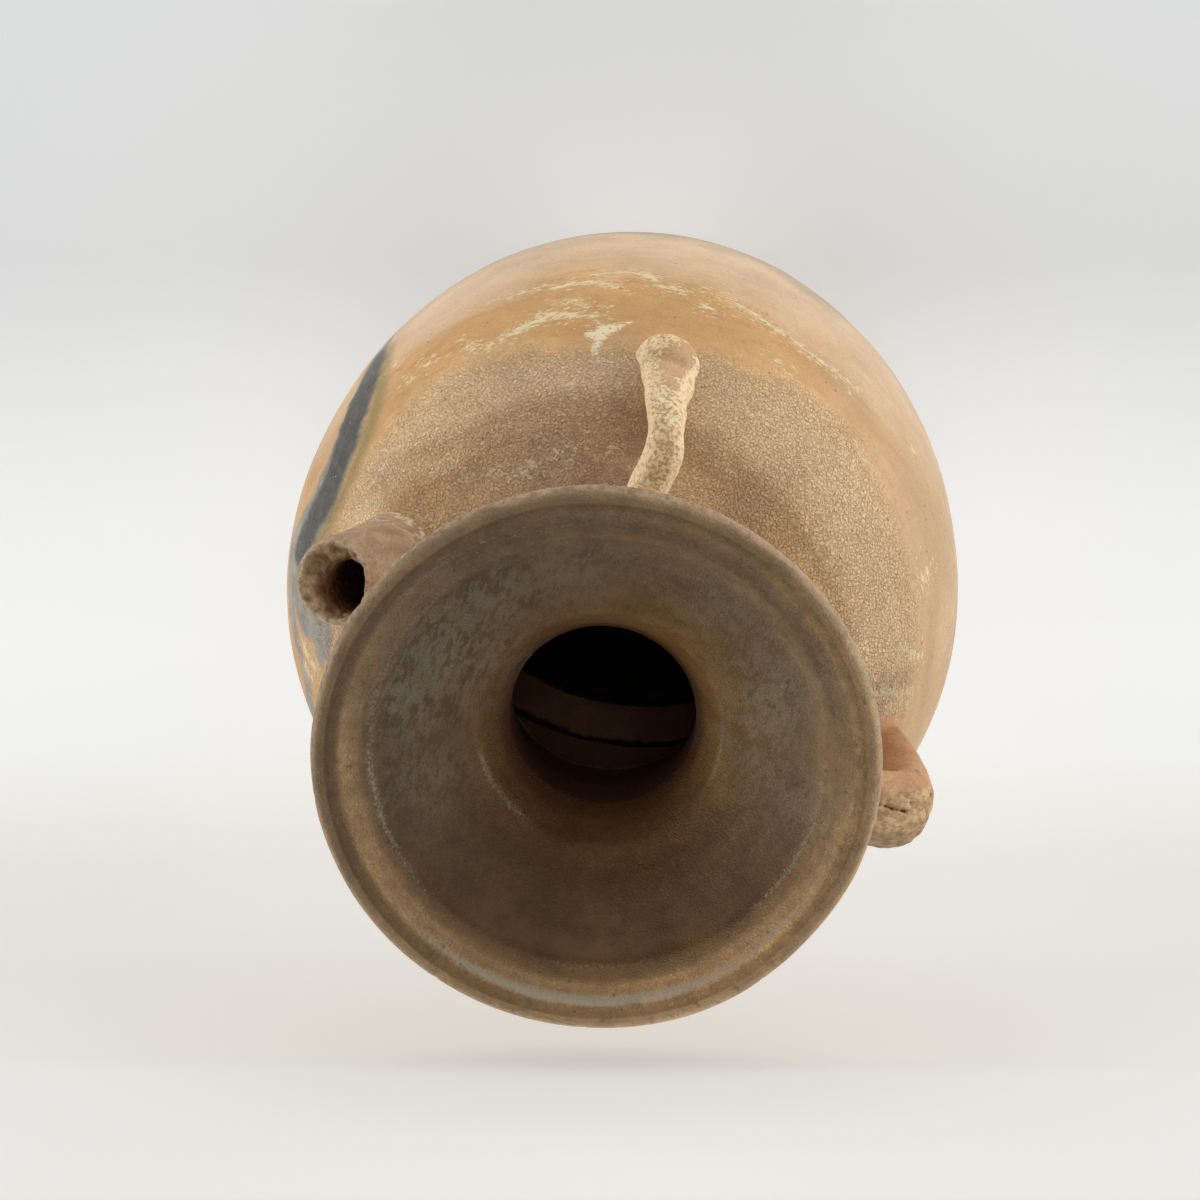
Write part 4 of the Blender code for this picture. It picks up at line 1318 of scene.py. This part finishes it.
def lip_marks(f, at):
    """The lip is worn at its edge and grimy in places; painted shade darkens one side of it, and painted
    light lifts it towards the image's bottom.
    """
    lip = f.between(f.radius, 52.0, 54.0)
    # Painted shade and painted light on the lip, by where the light falls
    side = f.between(f.toward(IMAGE_RIGHT_AZIMUTH - 45), -52.0, 52.0, 0.58, 0.96)
    side = f.times(side, f.between(f.toward(IMAGE_UP_AZIMUTH), -20.0, -54.0, 1.0, 1.18))
    f.shade(f.grey(side), lip)
    edge = f.times(f.between(at, 57.2, 58.7), f.between(f.noise(1.6, 4, 0.65, seed=36), 0.34, 0.62))
    f.lay(LIP_WORN, edge, 0.5)
    f.lay(LIP_DIRT, lip, f.between(f.noise(3.0, 4, 0.65, seed=39), 0.54, 0.68, 0.0, 0.6))


def mouth_finish():
    f = Finish("worn_mouth_glaze", 0.55, DISH_SHINE)
    lines = f.rings(0.9, 22, 4, seed=1)
    grain = f.noise(0.45, 3, 0.6, seed=11)
    mottle = f.noise(7, 4, seed=14)
    leather = f.crackle(0.85, 1.6, seed=3)
    at = f.add(f.radius, f.about(f.noise(6, 3, seed=16), 1.6))
    dish_ground(f, at, lines, grain, mottle, leather)
    dish_side_light(f)
    scuff, worn = dish_marks(f, grain, mottle)
    dish = f.colour
    neck_outside(f, grain, mottle)
    f.colour = f.mix(f.field("dish"), f.colour, dish)
    lip_marks(f, at)
    f.bump(f.between(leather, 0.0, 0.3), 0.09)
    f.bump(grain, 0.14)
    f.bump(lines, 0.07)
    f.bump(scuff, 0.06)
    return f.finished(f.add(f.between(grain, 0.3, 0.7, 0.60, 0.48), f.times(worn, 0.15)))


def spout_mouth(f, bitten):
    """The spout's bitten tip, hollowed towards its bore, with painted shade darkening the hollow and the
    bore, near-black deep inside.
    """
    face = f.mix(f.between(bitten), *FACE_TONES)
    face = f.mix(f.times(f.field("ring"), f.between(bitten, 0.34, 0.60, 0.2, 0.8)), face, FACE_RING)
    face = f.mix(f.between(f.field("hollow"), 0.25, 1.0, 0.0, 0.7), face, FACE_HOLLOW_SHADE)
    f.lay(face, f.field("face"), f.between(bitten, 0.30, 0.45, 0.80, 0.95))
    bore = f.mix(f.between(bitten, 0.40, 0.66), *SPOUT_BORE_SHADE_TONES)
    bore = f.mix(f.times(f.field("deep"), 0.9), bore, SPOUT_BORE_DEEP_SHADE)
    f.lay(bore, f.field("bore"))


def spout_finish():
    f = Finish("worn_spout_glaze", 0.62)
    grain = f.noise(0.55, 3, 0.62, seed=2)
    bitten = f.noise(1.2, 4, 0.68, seed=14)
    f.colour = f.mix(f.between(f.noise(5, 4, seed=5)), *SPOUT_TONES)
    scratch = f.noise(0.7, 4, 0.6, stretch=(1, 1, 7), seed=8)
    f.lay(SPOUT_SCRATCH, f.between(scratch, 0.52, 0.68, 0.0, 0.6))
    f.tint(grain, 0.82, 1.18, 0.25, 0.75)
    slip = f.between(f.noise(1.4, 4, 0.65, stretch=(2, 2, 1), seed=12), 0.50, 0.60)
    f.lay(SPOUT_SLIP, f.field("root"), slip, 0.8)
    spout_mouth(f, bitten)
    f.lay(SPOUT_SPECK, f.specks(2.2, 0.06, seed=3), 0.6)
    f.bump(grain, 0.12)
    f.bump(f.times(bitten, f.add(f.field("face"), 0.15)), 0.5)
    return f.finished(f.between(grain, 0.3, 0.7, 0.70, 0.56))


def handle_flank(f):
    """The handle's smooth side, scratched along the strap."""
    smooth = f.mix(f.between(f.noise(5.5, 4, seed=5)), *FLANK_TONES)
    scratch = f.noise(0.6, 4, 0.6, stretch=(8, 1.4, 1.4), seed=8)
    return f.mix(f.between(scratch, 0.60, 0.70, 0.0, 0.55), smooth, FLANK_SCRATCH)


def handle_finish():
    f = Finish("worn_handle_glaze", 0.50, HANDLE_SHINE)
    grain = f.noise(0.6, 3, 0.62, seed=2)
    creased = f.noise(2.0, 4, 0.62, stretch=(1.5, 1, 2.2), seed=11)
    streak = f.noise(0.8, 4, 0.62, stretch=(3.5, 1, 1.5), seed=14)
    flank = f.field("flank")
    f.colour = f.mix(f.between(creased, 0.36, 0.62), *STRAP_TONES)
    f.lay(STRAP_SLIP, f.between(streak, 0.54, 0.66, 0.0, 0.6))
    f.lay(STRAP_DARK, f.between(streak, 0.45, 0.36, 0.0, 0.6))
    f.lay(handle_flank(f), f.add(flank, f.about(f.noise(2.4, 3, seed=17), 0.5)))
    f.tint(grain, 0.86, 1.14, 0.25, 0.75)
    # Painted shade: darker where the handle faces the image's bottom
    f.tint(f.field("under"), 1.0, 0.62, 0.0, 1.0)
    # Painted shade at the handle's foot by the rim, broken up by the streaks
    grimy = f.add(f.field("grime"), f.about(streak, 0.5))
    f.lay(HANDLE_CROOK_SHADE, f.between(grimy, 0.12, 0.80, 0.0, 0.85))
    f.lay(CRACK_EDGE, f.between(f.field("crack"), 0.12, 0.5, 0.0, 0.4))
    f.lay(CRACK_DEEP, f.between(f.field("crack"), 0.45, 0.75, 0.0, 0.9))
    f.lay(HANDLE_SPECK, f.specks(2.4, 0.08, seed=3), 0.6)
    f.bump(grain, 0.08)
    f.bump(creased, 0.30)
    return f.finished(f.between(flank, 0.0, 1.0, 0.68, 0.48))


def lug_finish():
    f = Finish("worn_lug_glaze", 0.66)
    grain = f.noise(0.5, 3, 0.62, seed=2)
    mottle = f.noise(4.5, 4, seed=5)
    f.colour = f.mix(f.between(mottle), *LUG_CLAY)
    coat = f.mix(f.between(mottle, 0.35, 0.65), *LUG_COAT)
    bare = f.add(f.field("bare"), f.about(f.noise(2.2, 4, 0.62, seed=12), 0.8))
    worn = f.add(f.times(f.field("edge"), 0.07), f.times(f.between(bare, 0.45, 0.75), -0.20))
    shown = f.between(f.add(f.noise(1.0, 5, 0.70, seed=9), worn), 0.435, 0.515, 0.0, 0.94)
    f.lay(coat, shown)
    f.tint(grain, 0.86, 1.16, 0.25, 0.75)
    scribble = f.noise(0.50, 5, 0.68, stretch=(1.8, 1.8, 1), seed=15)
    f.lay(LUG_SCRIBBLE, f.between(scribble, 0.56, 0.63, 0.0, 0.6))
    f.bump(grain, 0.10)
    f.bump(shown, 0.09)
    return f.finished(f.between(grain, 0.3, 0.7, 0.72, 0.6))


# Floor, light and camera

FLOOR_SIZE = 6.0
FLOOR_PAINT = (0.79, 0.79, 0.785)
FLOOR_GLOW = (
    (0.0, (0.387, 0.389, 0.360)), (0.20, (0.373, 0.369, 0.346)), (0.27, (0.336, 0.326, 0.297)),
    (0.335, (0.362, 0.350, 0.319)), (0.40, (0.455, 0.465, 0.450)), (0.465, (0.490, 0.502, 0.503)),
    (0.54, (0.452, 0.467, 0.468)), (0.62, (0.351, 0.367, 0.371)), (0.68, (0.262, 0.280, 0.286)),
    (1.0, (0.250, 0.275, 0.285)),
)
BACKDROP = (0.80, 0.81, 0.81)
FLOOR_FADE = (262.0, 420.0)
WARM_SHADE = (0.205, 0.125, 0.040)
COOL_SHADE = (0.090, 0.090, 0.065)
LINE_SHADE = (0.050, 0.025, 0.0)
SHADE_MIDDLE = (13.0, 159.5)

# Lamps about the ewer: degrees round from the image's top, elevation, and watts
LAMP_DISTANCE = 1.2
LAMPS = (
    (-45, 0, 3.64), (-45, 20, 1.12), (-45, 50, 0.39), (-90, 0, 1.86), (-90, 20, 4.13), (0, 0, 1.72),
    (45, 0, 3.03), (45, 20, 0.62), (90, 20, 5.68), (180, 0, 4.25), (180, 50, 2.41),
)
LOW_LAMP_SIZE = (0.8, 0.3)
LAMP_SIZE = (0.8, 0.6)
LAMP_HEIGHT = 0.12
LOW_LAMP_HEIGHT = 0.16
THROAT_LAMP_SIZE = 0.2
THROAT_LAMP_WATTS = 0.35


def seen_plainly(tree):
    """1 for a ray from the camera, also one that a surface mirrors or lets through."""
    path = tree.nodes.new("ShaderNodeLightPath")
    shown = path.outputs["Is Camera Ray"]
    for kind in ("Is Glossy Ray", "Is Transmission Ray"):
        either = tree.nodes.new("ShaderNodeMath")
        either.operation = "MAXIMUM"
        tree.links.new(shown, either.inputs[0])
        tree.links.new(path.outputs[kind], either.inputs[1])
        shown = either.outputs[0]
    return shown


def shade_floor(f, along, across):
    """A painted shadow in front of the ewer: warm, then a dark line, then cool."""
    aside = f.math("ABSOLUTE", f.add(across, SHADE_MIDDLE[0]))
    off = f.math("ABSOLUTE", f.add(along, SHADE_MIDDLE[1]))
    warm = f.times(f.between(along, -120.0, -157.0), f.between(along, -163.0, -159.0))
    cool = f.times(f.between(along, -158.0, -162.0), f.between(along, -192.0, -161.0))
    f.lay(WARM_SHADE, warm, f.between(aside, 200.0, 0.0, 0.0, 0.55))
    f.lay(COOL_SHADE, cool, f.between(aside, 170.0, 0.0, 0.0, 0.40))
    f.lay(LINE_SHADE, f.between(off, 6.0, 0.0), f.between(aside, 75.0, 0.0, 0.0, 0.5))


def floor_finish():
    """Pale paint with a glow that lights nothing, giving way to the backdrop far from the ewer."""
    f = Finish("pale_floor", 0.9, FLOOR_SHINE)
    along, across = f.toward(IMAGE_UP_AZIMUTH), f.toward(IMAGE_RIGHT_AZIMUTH)
    share = f.node("MapRange", {"Value": along, "From Min": -260.0, "From Max": 200.0}).outputs[0]
    f.colour = f.ramp(share, FLOOR_GLOW)
    shade_floor(f, along, across)
    shown = seen_plainly(f.tree)
    gone = f.times(shown, f.between(f.radius, *FLOOR_FADE))
    inputs = f.shader.inputs
    f.feed(inputs["Alpha"], f.add(1.0, f.times(gone, -1.0)))
    f.feed(inputs["Base Color"], FLOOR_PAINT)
    f.feed(inputs["Emission Color"], f.colour)
    f.feed(inputs["Emission Strength"], shown)
    return f.material


def make_floor():
    half = FLOOR_SIZE / 2
    corners = np.array([(-half, -half, 0), (half, -half, 0), (half, half, 0), (-half, half, 0)])
    floor = as_object("floor", corners, [(0, 1, 2, 3)])
    floor.data.materials.append(floor_finish())


def area_lamp(name, watts):
    """An area lamp that the camera doesn't see."""
    light = bpy.data.lights.new(name, "AREA")
    light.energy = watts
    lamp = placed(name, light)
    lamp.visible_camera = False
    return lamp


def make_lamp(turn, elevation, watts):
    """A soft lamp that faces the ewer; one at elevation 0 is a low strip beside it."""
    low = elevation == 0
    lamp = area_lamp(f"lamp_{turn}_{elevation}", watts)
    lamp.data.shape = "RECTANGLE"
    lamp.data.size, lamp.data.size_y = LOW_LAMP_SIZE if low else LAMP_SIZE
    rise = math.radians(elevation)
    away = Vector(polar(IMAGE_UP_AZIMUTH + turn, math.cos(rise), math.sin(rise)))
    lamp.location = away * LAMP_DISTANCE + Vector((0, 0, LOW_LAMP_HEIGHT if low else LAMP_HEIGHT))
    lamp.rotation_euler = away.to_track_quat("Z", "Y").to_euler()


def make_throat_lamp():
    """A faint lamp at the camera, whose light reaches down the throat."""
    lamp = area_lamp("throat_lamp", THROAT_LAMP_WATTS)
    lamp.data.size = THROAT_LAMP_SIZE
    lamp.matrix_world = CAMERA


def make_world():
    """A world that gives no light, and is pale where the camera sees past the floor."""
    world = bpy.data.worlds.new("studio")
    world.use_nodes = True
    tree = world.node_tree
    shown = tree.nodes["Background"]
    shown.inputs["Color"].default_value = (*BACKDROP, 1)
    tree.links.new(seen_plainly(tree), shown.inputs["Strength"])
    bpy.context.scene.world = world


def make_camera():
    camera = placed("camera", bpy.data.cameras.new("camera"))
    camera.data.sensor_width = SENSOR_MM
    camera.data.lens = FOCAL_PIXELS * SENSOR_MM / IMAGE_SIZE
    camera.data.clip_end = 20
    camera.matrix_world = CAMERA
    bpy.context.scene.camera = camera


def show(made, node, finish):
    """Put a fired piece in its solid's place, with its finish."""
    made.data.materials.clear()
    made.data.materials.append(finish)
    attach(made, "root")
    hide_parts(node)


show(make_body(), "body", body_finish())
show(make_mouth(), "neck_and_mouth", mouth_finish())
show(make_spout(), "spout", spout_finish())
show(make_handle(), "handle", handle_finish())
worn_lug = lug_finish()
show(make_lug("front_lug"), "front_lug", worn_lug)
show(make_lug("back_lug"), "back_lug", worn_lug)

make_floor()
for lamp in LAMPS:
    make_lamp(*lamp)
make_throat_lamp()
make_world()
make_camera()
bpy.context.scene.view_settings.view_transform = "Standard"
